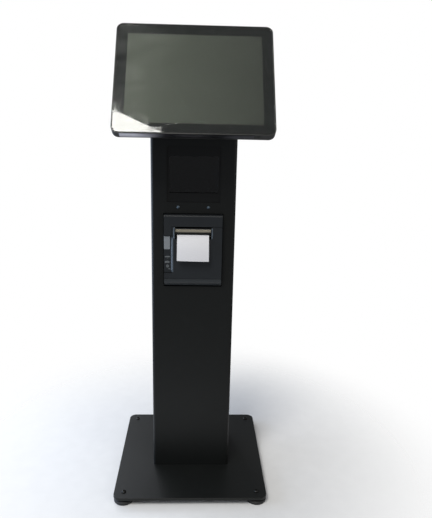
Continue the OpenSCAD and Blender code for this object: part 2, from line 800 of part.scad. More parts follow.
// Hinged cover over the paper roll: notched round the slot and round the control strip
module roll_cover() {
    top = head_z;
    back = split_y - gap;
    ear = notch_w / 2 - 3;
    color("#292c2e") {
        difference() {
            intersection() {
                printer_block();
                span([-prn_w, prn_y - 1, cover_z], [prn_w, back, top]);
            }
            difference() {
                printer_space();
                cover_ribs(back);
            }
            span([-prn_w, prn_y - 1, strip_z], [strip_x, back + 1, top + 1]);
            // the edge below the button panel is rounded about the hinge, so it swings clear
            difference() {
                span([-prn_w, cover_axis_y, cover_axis_z], [strip_x, back + 1, strip_z + 1]);
                bar_x(-prn_w, cover_axis_y, cover_axis_z, strip_z - cover_axis_z, prn_w + strip_x);
            }
            span([-notch_w / 2, prn_y - 1, notch_z], [notch_w / 2, back + 1, top + 1]);
            span([-prn_w, cover_axis_y, cover_z - 1], [-prn_in, back + 1, cover_axis_z]);
            span([prn_in, cover_axis_y, cover_z - 1], [prn_w, back + 1, cover_axis_z]);
        }
        for (s = [0, 1]) mirror([s, 0, 0]) {
            along_x(prn_in - 7, 3.5) difference() {
                union() {
                    translate([cover_axis_y, cover_axis_z]) circle(4.3);
                    translate([prn_y + 1, cover_axis_z - 4.3]) square([5.5, 8.6]);
                }
                translate([cover_axis_y, cover_axis_z]) circle(cover_pin_r + run);
            }
            along_x(ear, 2.5) difference() {
                union() {
                    translate([platen_y, platen_z]) circle(5);
                    translate([platen_y - 3, notch_z - 1]) square([6, platen_z - notch_z + 1]);
                    translate([prn_y + 1, notch_z - 12]) square([16, 12]);
                }
                translate([platen_y, platen_z]) circle(platen_pin_r + run);
            }
        }
    }
}

// Turned-in edges of the roll cover along its notches
module cover_ribs(back) {
    span([strip_x - 1, prn_y, strip_z - wall], [strip_x + wall, back, head_z]);
    span([-prn_w / 2, prn_y, strip_z - wall], [strip_x, back, strip_z]);
    for (s = [0, 1]) mirror([s, 0, 0])
        span([notch_w / 2, prn_y, notch_z - wall], [notch_w / 2 + wall, back - 2, head_z]);
    span([-notch_w / 2, prn_y, notch_z - wall], [notch_w / 2, prn_y + 8, notch_z]);
}

lamp_z = [strip_z + 32, strip_z + 39, strip_z + 46];
feed_x = -prn_w / 2 + 9;
feed_z = strip_z + 18;
button_low = prn_z + 98;
button_top = prn_z + 132;
// Sunken strip beside the roll cover that carries the buttons and lamps
module control_panel() {
    right = strip_x - gap - 0.2;
    color("#202325") difference() {
        span([-prn_w / 2, strip_y, strip_z + 0.7], [right, split_y, strip_top - 0.2]);
        span([-prn_w / 2 + wall, strip_y + wall, strip_z + 0.7 + wall],
            [right - wall, split_y + 1, strip_top - 0.2 - wall]);
        span([-prn_w, strip_y - 1, button_low - 0.3],
            [-prn_w / 2 + 15.3, split_y - 0.8, button_top + 0.3]);
        bar_y(feed_x, strip_y - 1, feed_z, 4.25, wall + 2);
        for (z = lamp_z)
            span([-prn_w / 2 + 5, strip_y - 1, z - 1.2], [-prn_w / 2 + 13, strip_y + wall + 1, z + 1.2]);
    }
}

// Grey button that releases the roll cover
module cover_button() {
    color("#7f8486")
        span([-prn_w / 2 + 0.1, strip_y - 1.5, button_low], [-prn_w / 2 + 15, strip_y + 5, button_top]);
}

module feed_button() {
    color("#5b6063") bar_y(feed_x, strip_y - 1, feed_z, 4, 5);
}

module status_lamps() {
    color("#9fb4bb") for (z = lamp_z)
        span([-prn_w / 2 + 5.1, strip_y - 0.1, z - 1.1], [-prn_w / 2 + 12.9, strip_y + wall, z + 1.1]);
}

// ---- printer mechanism ----

// Steel frame above the slot: a top plate and two side plates up to the case
module head_frame() {
    plate_z = slot_z + 7;
    color("#8b8f92") {
        difference() {
            union() {
                span([-44, prn_y + 8, plate_z], [44, prn_y + 46, plate_z + 2]);
                span([-side_x, prn_y + 22, plate_z], [side_x, prn_y + 46, plate_z + 2]);
                for (s = [0, 1]) mirror([s, 0, 0])
                    span([side_x, prn_y + 22, platen_z - 14], [side_x + 2, prn_y + 64, prn_top - wall]);
            }
            bar_x(-side_x - 3, pinion_y, platen_z, 2, 2 * side_x + 6);
        }
        bar_x(side_x + 2, idler_y, platen_z, 2, gear_t + 1.5);
    }
}

module print_head() {
    color("#55585a")
        span([-paper_w / 2, prn_y + 8.5, slot_z + 1.2], [paper_w / 2, prn_y + 24, slot_z + 7]);
}

// Fixed edge that the ticket is torn against
module tear_bar() {
    teeth = 40;
    pitch = 88 / teeth;
    color("#9b8f72") difference() {
        span([-44, prn_y + 6, slot_z + 2.5], [44, prn_y + 8, slot_z + 9]);
        for (i = [0:teeth - 1]) translate([-44 + (i + 0.5) * pitch, prn_y + 5, slot_z + 2.5])
            rotate([0, 45, 0]) translate([-0.5, 0, -0.5]) cube([1, 4, 1]);
    }
}

// Angle in degrees between the start of an involute and its point at radius r
function involute(rb, r) = let (t = sqrt(pow(r / rb, 2) - 1)) t * 180 / PI - atan(t);

// Spur gear outline: each tooth has two involute flanks at 20 degrees, thinned for backlash
module gear_outline(teeth, m) {
    rp = teeth * m / 2;
    rb = rp * cos(20);
    root = rp - 1.25 * m;
    tip = rp + 0.9 * m;
    low = max(rb, root);
    steps = 5;
    half = 90 / teeth - 3.2 / teeth + involute(rb, rp);
    polygon([for (k = [0:teeth - 1]) let (a = k * 360 / teeth) each concat(
        [[root * cos(a - half), root * sin(a - half)]],
        [for (i = [0:steps]) let (r = low + (tip - low) * i / steps, b = a - half + involute(rb, r + 1e-6))
            [r * cos(b), r * sin(b)]],
        [for (i = [0:steps]) let (r = tip - (tip - low) * i / steps, b = a + half - involute(rb, r + 1e-6))
            [r * cos(b), r * sin(b)]],
        [[root * cos(a + half), root * sin(a + half)]])]);
}

module gear_x(x, y, teeth, turn, bore) {
    along_x(x, gear_t) translate([y, platen_z]) difference() {
        rotate(turn) gear_outline(teeth, gear_m);
        circle(bore);
    }
}

// Rubber-covered roller on a steel shaft, with its gear pressed on the end
module platen_roller() {
    color("#2a2a2b") bar_x(-paper_w / 2 - 0.5, platen_y, platen_z, platen_r, paper_w + 1);
    color("#a4a7a9") bar_x(-notch_w / 2 - 0.3, platen_y, platen_z, platen_pin_r,
        notch_w / 2 + gear_x + gear_t + 0.8);
    color("#d8d5c8") gear_x(gear_x, platen_y, platen_teeth, 0, 2);
}

module idler_gear() { color("#d8d5c8") gear_x(gear_x, idler_y, idler_teeth, 180 / idler_teeth, 2 + run); }

module feed_motor() {
    len = 22;
    color("#3b3d40") difference() {
        union() {
            bar_x(side_x - len, pinion_y, platen_z, 11.5, len);
            span([side_x - 1.5, pinion_y - 15, platen_z - 4], [side_x, pinion_y + 15, platen_z + 4]);
        }
        bar_x(side_x - len + 3, pinion_y, platen_z, 1.5 + run, len);
    }
}

module motor_pinion() {
    color("#c2a35a") {
        gear_x(gear_x, pinion_y, pinion_teeth, 0, 1);
        bar_x(side_x - 18, pinion_y, platen_z, 1.5, gear_x + gear_t - side_x + 18);
    }
}

// Holder on the case's back wall: two arms whose hubs enter the core of the roll
module roll_holder() {
    back = prn_back - wall;
    half = 18;
    color("#2d3032") {
        span([-hold_x - 2, back - 2, roll_z - half], [hold_x + 2, back, roll_z + half]);
        for (s = [0, 1]) mirror([s, 0, 0]) {
            span([hold_x, roll_y - 12, roll_z - 12], [hold_x + 2, back, roll_z + 12]);
            bar_x(hold_x - 7, roll_y, roll_z, hub_r, 8);
        }
    }
}

module paper_roll() {
    color("#e9e8e4") difference() {
        bar_x(-paper_w / 2, roll_y, roll_z, roll_r, paper_w);
        bar_x(-paper_w / 2 - 1, roll_y, roll_z, core_r, paper_w + 2);
    }
}

// Ticket: out of the slot, over in a quarter bend and straight down
module ticket() {
    out_y = ticket_y + ticket_bend + ticket_t;
    bend_z = slot_z + ticket_t - ticket_bend - ticket_t;
    color("#efefef") along_x(-paper_w / 2, paper_w) {
        translate([out_y, slot_z]) square([platen_y + 3 - out_y, ticket_t]);
        translate([ticket_y, bend_z - ticket_drop]) square([ticket_t, ticket_drop]);
        intersection() {
            difference() {
                translate([out_y, bend_z]) circle(ticket_bend + ticket_t);
                translate([out_y, bend_z]) circle(ticket_bend);
            }
            translate([ticket_y, bend_z]) square(ticket_bend + ticket_t);
        }
    }
}

module printer_board() {
    back = prn_back - wall;
    low = roll_z + 26;
    color("#2c5a3c") {
        span([-60, back - 7.5, low], [60, back - 5.9, prn_top - wall - 8]);
        for (x = [-1, 1], z = [low + 8, prn_top - wall - 16])
            bar_y(x * 52, back - 5.9, z, 3, 5.9);
        for (i = [-1:1]) span([i * 34 - 11, back - 18, low], [i * 34 + 11, back - 7.5, low + 14]);
        span([-18, back - 10, low + 30], [8, back - 7.5, low + 52]);
    }
}

// Shelf across the column that the printer stands on, with its sides turned down
module printer_shelf() {
    drop = 22;
    y0 = prn_y + 46;
    color("#6d7072") {
        span([-inner_w / 2, y0, prn_z - 2], [inner_w / 2, prn_back + 8, prn_z]);
        for (s = [0, 1]) mirror([s, 0, 0])
            span([inner_w / 2 - 2, y0, prn_z - drop], [inner_w / 2, prn_back + 8, prn_z]);
    }
}

base_plate();
foot_bolts();
foot_front_left();
foot_front_right();
foot_rear_left();
foot_rear_right();
base_flange();
flange_bolts();
column_body();
top_cap();
rear_panel();
mains_inlet();
switch_rocker();
cable_grommet();
rear_door();
hinge_leaves_fixed();
hinge_leaves_door();
lock_barrel();
lock_plug();
power_supply();
tilt_bracket();
tilt_bolts();
monitor_bracket();
vesa_screws();
monitor_frame();
touch_glass();
lcd_panel();
monitor_rear_cover();
main_board();
heat_sink();
power_button();
scanner_bezel();
scanner_window();
scanner_housing();
scanner_mirrors();
polygon_motor();
polygon_mirror();
laser_module();
scanner_board();
scanner_bracket();
scanner_screws();
printer_case();
slot_cover();
roll_cover();
control_panel();
cover_button();
feed_button();
status_lamps();
head_frame();
print_head();
tear_bar();
platen_roller();
idler_gear();
feed_motor();
motor_pinion();
roll_holder();
paper_roll();
ticket();
printer_board();
printer_shelf();
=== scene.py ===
import json

import bmesh
import bpy
import numpy as np
from mathutils import Matrix, Vector

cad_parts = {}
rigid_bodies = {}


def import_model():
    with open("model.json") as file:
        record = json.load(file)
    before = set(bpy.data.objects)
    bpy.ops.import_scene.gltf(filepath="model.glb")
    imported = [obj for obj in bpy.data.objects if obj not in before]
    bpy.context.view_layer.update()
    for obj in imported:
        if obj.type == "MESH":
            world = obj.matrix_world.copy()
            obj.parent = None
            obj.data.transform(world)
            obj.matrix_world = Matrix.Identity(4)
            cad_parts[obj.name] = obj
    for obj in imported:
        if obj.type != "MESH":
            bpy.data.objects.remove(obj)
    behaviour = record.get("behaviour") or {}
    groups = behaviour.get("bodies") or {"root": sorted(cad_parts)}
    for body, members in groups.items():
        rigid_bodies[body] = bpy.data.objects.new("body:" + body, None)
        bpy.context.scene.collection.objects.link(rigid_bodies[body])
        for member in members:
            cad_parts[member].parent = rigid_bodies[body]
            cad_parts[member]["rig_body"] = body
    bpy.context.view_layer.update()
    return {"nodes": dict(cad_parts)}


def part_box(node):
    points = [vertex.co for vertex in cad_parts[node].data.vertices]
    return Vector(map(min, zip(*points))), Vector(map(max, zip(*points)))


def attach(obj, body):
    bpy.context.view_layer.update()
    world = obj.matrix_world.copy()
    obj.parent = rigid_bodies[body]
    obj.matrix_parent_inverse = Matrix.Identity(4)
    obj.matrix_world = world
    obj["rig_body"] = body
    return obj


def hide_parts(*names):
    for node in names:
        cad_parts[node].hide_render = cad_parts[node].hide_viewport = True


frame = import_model()

# ---- Studio: floor, lamps and camera ----
# A pale vinyl floor that fades out into a white surround, so that the black kiosk stands clear of it.
# The light comes from the left: a main lamp high in front, a low and wide bluish one beside the kiosk, one behind
# and a faint one above. A weak one fills from the right.


def colour(code):
    """Linear red, green, blue and 1 from an sRGB hex code: ((c + 0.055) / 1.055) to the power 2.4 above 0.04045."""
    c = np.array([int(code[i:i + 2], 16) for i in (1, 3, 5)]) / 255
    return (*np.where(c > 0.04045, ((c + 0.055) / 1.055) ** 2.4, c / 12.92), 1.0)


def add(tree, kind, inputs, **settings):
    """Adds a node with its settings. Each input is named or numbered, and gets a value or the output it is fed from."""
    node = tree.nodes.new(kind)
    for name, value in settings.items():
        setattr(node, name, value)
    for name, value in inputs.items():
        if isinstance(value, bpy.types.NodeSocket):
            tree.links.new(value, node.inputs[name])
        else:
            node.inputs[name].default_value = value
    return node.outputs


def blank(name):
    """A new material with an empty tree, the tree, and the Object coordinates that its patterns are laid out in."""
    material = bpy.data.materials.new(name)
    material.use_nodes = True
    material.node_tree.nodes.clear()
    return material, material.node_tree, add(material.node_tree, "ShaderNodeTexCoord", {})["Object"]


def surface(name, grids, material, join="caps"):
    """One mesh from grids of points in millimetres, each of rings by points round a ring.
    Four neighbours make a face and each ring closes on itself. join says how a grid ends: with a cap on its first
    and last ring, in a loop from the last ring to the first, or open. Doubles are merged and the faces turned out."""
    corners, faces = [], []
    for grid in grids:
        index = sum(map(len, corners)) + np.arange(grid.shape[0] * grid.shape[1]).reshape(grid.shape[:2])
        if join == "loop":
            index = np.vstack([index, index[:1]])
        low, high = index[:-1], index[1:]
        faces += np.stack([low, np.roll(low, -1, 1), np.roll(high, -1, 1), high], -1).reshape(-1, 4).tolist()
        if join == "caps":
            faces += [index[0, ::-1].tolist(), index[-1].tolist()]
        corners.append(grid.reshape(-1, 3))
    mesh = bpy.data.meshes.new(name)
    mesh.from_pydata((np.vstack(corners) / 1000).tolist(), [], faces)
    shell = bmesh.new()
    shell.from_mesh(mesh)
    bmesh.ops.remove_doubles(shell, verts=shell.verts, dist=1e-7)
    bmesh.ops.recalc_face_normals(shell, faces=shell.faces)
    shell.to_mesh(mesh)
    shell.free()
    mesh.shade_smooth()
    mesh.set_sharp_from_angle(angle=np.radians(32))
    mesh.materials.append(material)
    made = bpy.data.objects.new(name, mesh)
    bpy.context.scene.collection.objects.link(made)
    return made


def turned(profile, count=64):
    """A turned shape round the Z axis: a ring of radius r at height z for each (r, z) of the profile."""
    angle = np.linspace(0, 2 * np.pi, count, endpoint=False)
    r, z = np.array(profile, float).T[:, :, None]
    return np.stack([r * np.cos(angle), r * np.sin(angle), z + 0 * angle], -1)


vinyl, tree, at = blank("pale_vinyl_floor")
speck = add(tree, "ShaderNodeTexNoise", {"Vector": at, "Scale": 1000 / 40, "Detail": 3.0})["Fac"]
tone = add(tree, "ShaderNodeMix", {0: speck, 6: colour("#f1f1f1"), 7: colour("#fafafa")}, data_type="RGBA")[2]
matt = add(tree, "ShaderNodeBsdfPrincipled", {"Base Color": tone, "Roughness": 0.6, "Specular IOR Level": 0.2})
away = add(tree, "ShaderNodeVectorMath", {0: at}, operation="LENGTH")["Value"]
fade = add(tree, "ShaderNodeMapRange", {"Value": away, "From Min": 0.26, "From Max": 0.85},
           interpolation_type="SMOOTHSTEP")["Result"]
clear = add(tree, "ShaderNodeBsdfTransparent", {})
both = add(tree, "ShaderNodeMixShader", {0: fade, 1: matt["BSDF"], 2: clear["BSDF"]})
add(tree, "ShaderNodeOutputMaterial", {"Surface": both["Shader"]})
floor = surface("floor", [turned([(0, 0), (700, 0), (2600, 0), (6000, 0)])], vinyl, "open")

world = bpy.data.worlds.new("surround")
world.use_nodes = True
tree = world.node_tree
tree.nodes.clear()
seen = add(tree, "ShaderNodeLightPath", {})["Is Camera Ray"]
dim = add(tree, "ShaderNodeBackground", {"Color": colour("#f4f6fa"), "Strength": 0.24})
white = add(tree, "ShaderNodeBackground", {"Color": colour("#ffffff"), "Strength": 1.0})
sky = add(tree, "ShaderNodeMixShader", {0: seen, 1: dim["Background"], 2: white["Background"]})
add(tree, "ShaderNodeOutputWorld", {"Surface": sky["Shader"]})
bpy.context.scene.world = world
bpy.context.scene.view_settings.view_transform = "Standard"

# name, place and the point it faces in metres, power in watts, width and height in metres, colour
lamps = [("front_left_lamp", (-0.95, -1.9, 3.2), (0, 0, 0.6), 66, 1.2, 1.4, "#fffdf8"),
         ("left_lamp", (-1.5, 0.1, 0.5), (0, 0, 0.6), 22, 2.0, 0.95, "#cfe2ff"),
         ("ceiling_lamp", (-1.15, -0.95, 3.0), (-1.15, -0.95, 0), 0.35, 1.9, 2.2, "#fffdf8"),
         ("front_right_lamp", (2.2, -1.7, 1.6), (0, 0, 0.6), 9, 1.0, 1.6, "#fffdf8"),
         ("back_lamp", (-1.2, 1.9, 1.7), (0, 0, 0.6), 20, 1.6, 1.4, "#f4f8ff")]
for name, place, target, power, wide, high, tint in lamps:
    lamp = bpy.data.lights.new(name, "AREA")
    lamp.shape, lamp.energy, lamp.size, lamp.size_y = "RECTANGLE", power, wide, high
    lamp.color = colour(tint)[:3]
    held = bpy.data.objects.new(name, lamp)
    held.location = place
    held.visible_camera = False
    held.rotation_euler = (Vector(target) - Vector(place)).to_track_quat("-Z", "Y").to_euler()
    bpy.context.scene.collection.objects.link(held)

# Camera 1.4 m in front of the kiosk and 1 m above the floor: its place in metres, and its turns in radians
eye = (0.00697, -1.3755, 0.9866)
yaw, pitch, roll = -0.0393, 0.2666, 0.0222
aim = Vector((-np.sin(yaw) * np.cos(pitch), np.cos(yaw) * np.cos(pitch), -np.sin(pitch)))
right = Vector((np.cos(yaw), np.sin(yaw), 0))
up = right.cross(aim)
across = right * np.cos(roll) + up * np.sin(roll)
above = up * np.cos(roll) - right * np.sin(roll)
camera = bpy.data.objects.new("camera", bpy.data.cameras.new("camera"))
camera.data.lens = 37.27
camera.data.clip_start = 0.05
facing = Matrix((across, above, -aim)).transposed().to_4x4()
camera.matrix_world = Matrix.Translation(eye) @ facing
bpy.context.scene.collection.objects.link(camera)
bpy.context.scene.camera = camera

# ---- Base plate ----
# The real plate is 8 mm steel, laser cut, its edges ground round, and powder coated with the column.
# It is a rounded square drawn in a little at its lower and upper edge, so that both edges catch the light.
corner_points = 12


def outline(width, height, corner):
    """Points round a rectangle whose corners are quarter circles of the given radius."""
    turn = np.linspace(0, np.pi / 2, corner_points) + np.arange(4)[:, None] * np.pi / 2
    middle = np.array([[1, 1], [-1, 1], [-1, -1], [1, -1]]) * [width / 2 - corner, height / 2 - corner]
    return (middle[:, None] + corner * np.stack([np.cos(turn), np.sin(turn)], -1)).reshape(-1, 2)


def slab(width, height, corner, levels):
    """Rings for a flat piece: for each (inset, level) the outline drawn in by inset, at that level."""
    smallest = 0.05
    return np.array([np.column_stack([outline(width - 2 * i, height - 2 * i, max(corner - i, smallest)),
                                      np.full(4 * corner_points, z)]) for i, z in levels])


def eased(thickness, radius, steps=5):
    """(inset, level) up the side of a slab whose two edges are quarter circles of that radius."""
    t = np.linspace(0, np.pi / 2, steps)
    low = np.column_stack([radius * (1 - np.sin(t)), radius * (1 - np.cos(t))])
    return np.vstack([low, np.column_stack([low[::-1, 0], thickness - low[::-1, 1]])])


def stand_in(name, grids, material, nodes, join="caps"):
    """A new piece for one or more CAD nodes, in the material given: it rides on their body, and they are hidden."""
    piece = surface(name, grids, material, join)
    level = piece.modifiers.new("flat_faces_shaded_flat", "WEIGHTED_NORMAL")
    level.keep_sharp = True
    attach(piece, frame["nodes"][nodes[0]]["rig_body"])
    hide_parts(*nodes)
    return piece


def paint(material, *nodes):
    """Gives CAD nodes their finish."""
    for node in nodes:
        frame["nodes"][node].data.materials.clear()
        frame["nodes"][node].data.materials.append(material)


def middle(node):
    """Middle of a CAD node's box, in millimetres."""
    low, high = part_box(node)
    return np.array((low + high) / 2) * 1000


# Black epoxy-polyester powder coat, fine texture: an even satin black with a faint orange peel. Its grain is
# 0.9 mm across, drawn about twice as coarse as it is so that it shows. Dust and shoe scuffs lighten it here and there.
powder, tree, at = blank("powder_coated_steel")
grain = add(tree, "ShaderNodeTexNoise", {"Vector": at, "Scale": 1000 / 0.9, "Detail": 3.0})["Fac"]
peel = add(tree, "ShaderNodeTexNoise", {"Vector": at, "Scale": 1000 / 4.5, "Detail": 2.0})["Fac"]
drift = add(tree, "ShaderNodeTexNoise", {"Vector": at, "Scale": 1000 / 180, "Detail": 2.0})["Fac"]
scuffs = add(tree, "ShaderNodeTexNoise", {"Vector": at, "Scale": 1000 / 30, "Detail": 8.0, "Roughness": 0.72})["Fac"]
worn = add(tree, "ShaderNodeMapRange", {"Value": scuffs, "From Min": 0.56, "From Max": 0.74, "To Max": 0.35})["Result"]
tone = add(tree, "ShaderNodeMix", {0: worn, 6: colour("#111312"), 7: colour("#1f2120")}, data_type="RGBA")[2]
satin = add(tree, "ShaderNodeMapRange", {"Value": drift, "To Min": 0.40, "To Max": 0.52})["Result"]
height = add(tree, "ShaderNodeMath", {0: peel, 1: 2.0, 2: grain}, operation="MULTIPLY_ADD")[0]
relief = add(tree, "ShaderNodeBump", {"Height": height, "Strength": 0.3, "Distance": 0.00004})["Normal"]
shader = add(tree, "ShaderNodeBsdfPrincipled", {
    "Base Color": tone, "Roughness": satin, "Normal": relief, "Specular IOR Level": 0.35})
add(tree, "ShaderNodeOutputMaterial", {"Surface": shader["BSDF"]})

plate_low, plate_thick = 15, 8
plate_top = plate_low + plate_thick
plate = slab(400, 400, 20, eased(plate_thick, 1.2)) + [0, 0, plate_low]
stand_in("steel_base_plate", [plate], powder, ["base_plate"])

# ---- Levelling feet and their bolts ----
# Each foot is a moulded rubber pad with a sloping shoulder, screwed on a blackened button-head bolt through the plate.
# The head is a dome with a hexagon socket, and the foot has a bead round its rim where its mould parts.

# Black moulded rubber: matt, with a fine bloom that greys it unevenly
rubber, tree, at = blank("moulded_rubber")
bloom = add(tree, "ShaderNodeTexNoise", {"Vector": at, "Scale": 1000 / 9, "Detail": 5.0})["Fac"]
pores = add(tree, "ShaderNodeTexNoise", {"Vector": at, "Scale": 1000 / 0.7, "Detail": 2.0})["Fac"]
tone = add(tree, "ShaderNodeMix", {0: bloom, 6: colour("#161718"), 7: colour("#262728")}, data_type="RGBA")[2]
matt = add(tree, "ShaderNodeMapRange", {"Value": bloom, "To Min": 0.5, "To Max": 0.68})["Result"]
relief = add(tree, "ShaderNodeBump", {"Height": pores, "Strength": 0.35, "Distance": 0.00005})["Normal"]
shader = add(tree, "ShaderNodeBsdfPrincipled", {
    "Base Color": tone, "Roughness": matt, "Normal": relief, "Specular IOR Level": 0.45})
add(tree, "ShaderNodeOutputMaterial", {"Surface": shader["BSDF"]})

# Zinc-plated steel: bright grey metal with cloudy patches of passivation and fine marks from handling
zinc, tree, at = blank("zinc_plated_steel")
clouds = add(tree, "ShaderNodeTexNoise", {"Vector": at, "Scale": 1000 / 6, "Detail": 4.0})["Fac"]
marks = add(tree, "ShaderNodeTexNoise", {"Vector": at, "Scale": 1000 / 0.5, "Detail": 3.0})["Fac"]
tone = add(tree, "ShaderNodeMix", {0: clouds, 6: colour("#8f9598"), 7: colour("#b4b6b2")}, data_type="RGBA")[2]
dull = add(tree, "ShaderNodeMapRange", {"Value": clouds, "To Min": 0.28, "To Max": 0.46})["Result"]
relief = add(tree, "ShaderNodeBump", {"Height": marks, "Strength": 0.15, "Distance": 0.00003})["Normal"]
shader = add(tree, "ShaderNodeBsdfPrincipled", {
    "Base Color": tone, "Metallic": 1.0, "Roughness": dull, "Normal": relief})
add(tree, "ShaderNodeOutputMaterial", {"Surface": shader["BSDF"]})

# Black oxide steel: dark grey metal, a little brown where it is handled, with a soft sheen
oxide, tree, at = blank("black_oxide_steel")
patch = add(tree, "ShaderNodeTexNoise", {"Vector": at, "Scale": 1000 / 8, "Detail": 4.0})["Fac"]
tone = add(tree, "ShaderNodeMix", {0: patch, 6: colour("#2b2d2f"), 7: colour("#4a4845")}, data_type="RGBA")[2]
dull = add(tree, "ShaderNodeMapRange", {"Value": patch, "To Min": 0.34, "To Max": 0.52})["Result"]
shader = add(tree, "ShaderNodeBsdfPrincipled", {"Base Color": tone, "Metallic": 1.0, "Roughness": dull})
add(tree, "ShaderNodeOutputMaterial", {"Surface": shader["BSDF"]})

# (radius, height) up the side of a foot, from its sole to its bolt
foot_profile = [(0, 0), (21, 0), (21.6, 0.6), (24.2, 0.6), (25.2, 0.9), (25.9, 1.9), (25.9, 3.4), (26, 3.8),
                (25.9, 4.2), (25.9, 6.4), (25.6, 7.2), (24.9, 7.9), (23.2, 9.2), (22.4, 9.6), (17, 10.9),
                (15.6, 11.5), (14.6, 12.6), (14.1, 14), (13.8, 14.8), (13.4, 14.98), (4.2, 14.98)]
for name in ("foot_front_left", "foot_front_right", "foot_rear_left", "foot_rear_right"):
    place = middle(name) * [1, 1, 0]
    stand_in("rubber_" + name, [turned(foot_profile, 96) + place], rubber, [name])


def bolt(profile, socket, depth, count=48):
    """A bolt along Z: circles of the profile's (radius, height), then a hexagon socket of that corner radius.
    At angle a from the middle of a flat, a hexagon of corner radius s has the radius s cos 30 / cos a."""
    angle = np.linspace(0, 2 * np.pi, count, endpoint=False)
    flat = (angle + np.pi / 6) % (np.pi / 3) - np.pi / 6
    hexagon = socket * np.cos(np.pi / 6) / np.cos(flat)
    round_part = turned(profile, count)
    top = profile[-1][1]
    wall = [np.column_stack([r * np.cos(angle), r * np.sin(angle), np.full(count, z)])
            for r, z in ((hexagon, top), (hexagon, top - depth), (0 * hexagon, top - depth - 0.6))]
    return np.concatenate([round_part, wall])


def dome(radius, rise, rim, socket):
    """(radius, height) up a domed head from its seat: a rim, then a quarter of an ellipse down to the socket's edge."""
    t = np.linspace(0, np.arccos((socket + 0.25) / radius), 8)
    return [(radius, 0), *zip(radius * np.cos(t), rim + (rise - rim) * np.sin(t) / np.sin(t[-1]))]


reach = middle("foot_front_right")[0]
head = [(4, 4), (4, plate_top - 0.01)] + [(r, z + plate_top) for r, z in dome(6, 4, 0.6, 2.9)]
places = [(x * reach, y * reach, 0) for x in (-1, 1) for y in (-1, 1)]
stand_in("button_head_bolts", [bolt(head, 2.9, 2.2) + p for p in places], oxide, ["foot_bolts"])
paint(zinc, "flange_bolts", "base_flange")

# ---- Column, cap and fixed rear panel ----
# The column is one 2 mm steel sheet, folded round both sides with 8 mm bends at the front, open at the back.
# The openings for the scanner and the printer are laser cut. The column keeps the CAD mesh, only painted; the cap and
# the rear panel get rounded edges.


def softened(name, node, radius, material, sharper_than=28):
    """Stands in for a CAD node, with its edges rounded: a merged copy of its mesh with a bevel of that radius in
    millimetres on every edge that turns more than the given angle."""
    mesh = frame["nodes"][node].data.copy()
    shell = bmesh.new()
    shell.from_mesh(mesh)
    bmesh.ops.remove_doubles(shell, verts=shell.verts, dist=2e-6)
    shell.to_mesh(mesh)
    shell.free()
    mesh.shade_smooth()
    mesh.set_sharp_from_angle(angle=np.radians(sharper_than))
    mesh.materials.clear()
    mesh.materials.append(material)
    piece = bpy.data.objects.new(name, mesh)
    bpy.context.scene.collection.objects.link(piece)
    bevel = piece.modifiers.new("rounded_edges", "BEVEL")
    bevel.width, bevel.segments, bevel.limit_method = radius / 1000, 2, "ANGLE"
    bevel.angle_limit = np.radians(sharper_than)
    level = piece.modifiers.new("flat_faces_shaded_flat", "WEIGHTED_NORMAL")
    level.keep_sharp = True
    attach(piece, frame["nodes"][node]["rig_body"])
    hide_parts(node)
    return piece


paint(powder, "column_body")
softened("column_cap", "top_cap", 0.6, powder)
softened("lower_rear_panel", "rear_panel", 0.4, powder)

# ---- Rear door, hinges and lock ----
# A flat steel door with two vent fields and folded stiffeners inside, on three barrel hinges.
# A chromed cam lock with a key slot holds it; its plug turns in a flanged barrel.
softened("rear_door_skin", "rear_door", 0.4, powder)

softened("hinge_leaves_on_column", "hinge_leaves_fixed", 0.25, oxide)
softened("hinge_leaves_on_door", "hinge_leaves_door", 0.25, oxide)

# Chromed zinc casting: a bright mirror with faint polishing waves and hair scratches round the key slot
chrome, tree, at = blank("chromed_zinc")
waves = add(tree, "ShaderNodeTexNoise", {"Vector": at, "Scale": 1000 / 5, "Detail": 2.0})["Fac"]
hairs = add(tree, "ShaderNodeTexNoise", {"Vector": at, "Scale": 1000 / 0.4, "Detail": 6.0})["Fac"]
dull = add(tree, "ShaderNodeMapRange", {"Value": hairs, "To Min": 0.06, "To Max": 0.22})["Result"]
relief = add(tree, "ShaderNodeBump", {"Height": waves, "Strength": 0.1, "Distance": 0.0001})["Normal"]
shader = add(tree, "ShaderNodeBsdfPrincipled", {
    "Base Color": colour("#cfd1d2"), "Metallic": 1.0, "Roughness": dull, "Normal": relief})
add(tree, "ShaderNodeOutputMaterial", {"Surface": shader["BSDF"]})
softened("lock_barrel_and_nut", "lock_barrel", 0.4, chrome)
softened("lock_plug_and_cam", "lock_plug", 0.25, chrome)

# ---- Mains inlet, switch and cable grommet ----
# An appliance inlet with three brass blades and a rocker switch in one glass-filled nylon moulding.
# Beside it, a rubber grommet lines the hole where data leads leave the column.

# Glass-filled nylon: dull black, with a faint swirl of fibres near the surface
nylon, tree, at = blank("glass_filled_nylon")
swirl = add(tree, "ShaderNodeTexNoise", {"Vector": at, "Scale": 1000 / 3, "Detail": 6.0, "Distortion": 1.5})["Fac"]
tone = add(tree, "ShaderNodeMix", {0: swirl, 6: colour("#0f0f10"), 7: colour("#1b1b1c")}, data_type="RGBA")[2]
matt = add(tree, "ShaderNodeMapRange", {"Value": swirl, "To Min": 0.42, "To Max": 0.6})["Result"]
shader = add(tree, "ShaderNodeBsdfPrincipled", {"Base Color": tone, "Roughness": matt, "Specular IOR Level": 0.4})
add(tree, "ShaderNodeOutputMaterial", {"Surface": shader["BSDF"]})
softened("inlet_moulding", "mains_inlet", 0.35, nylon)

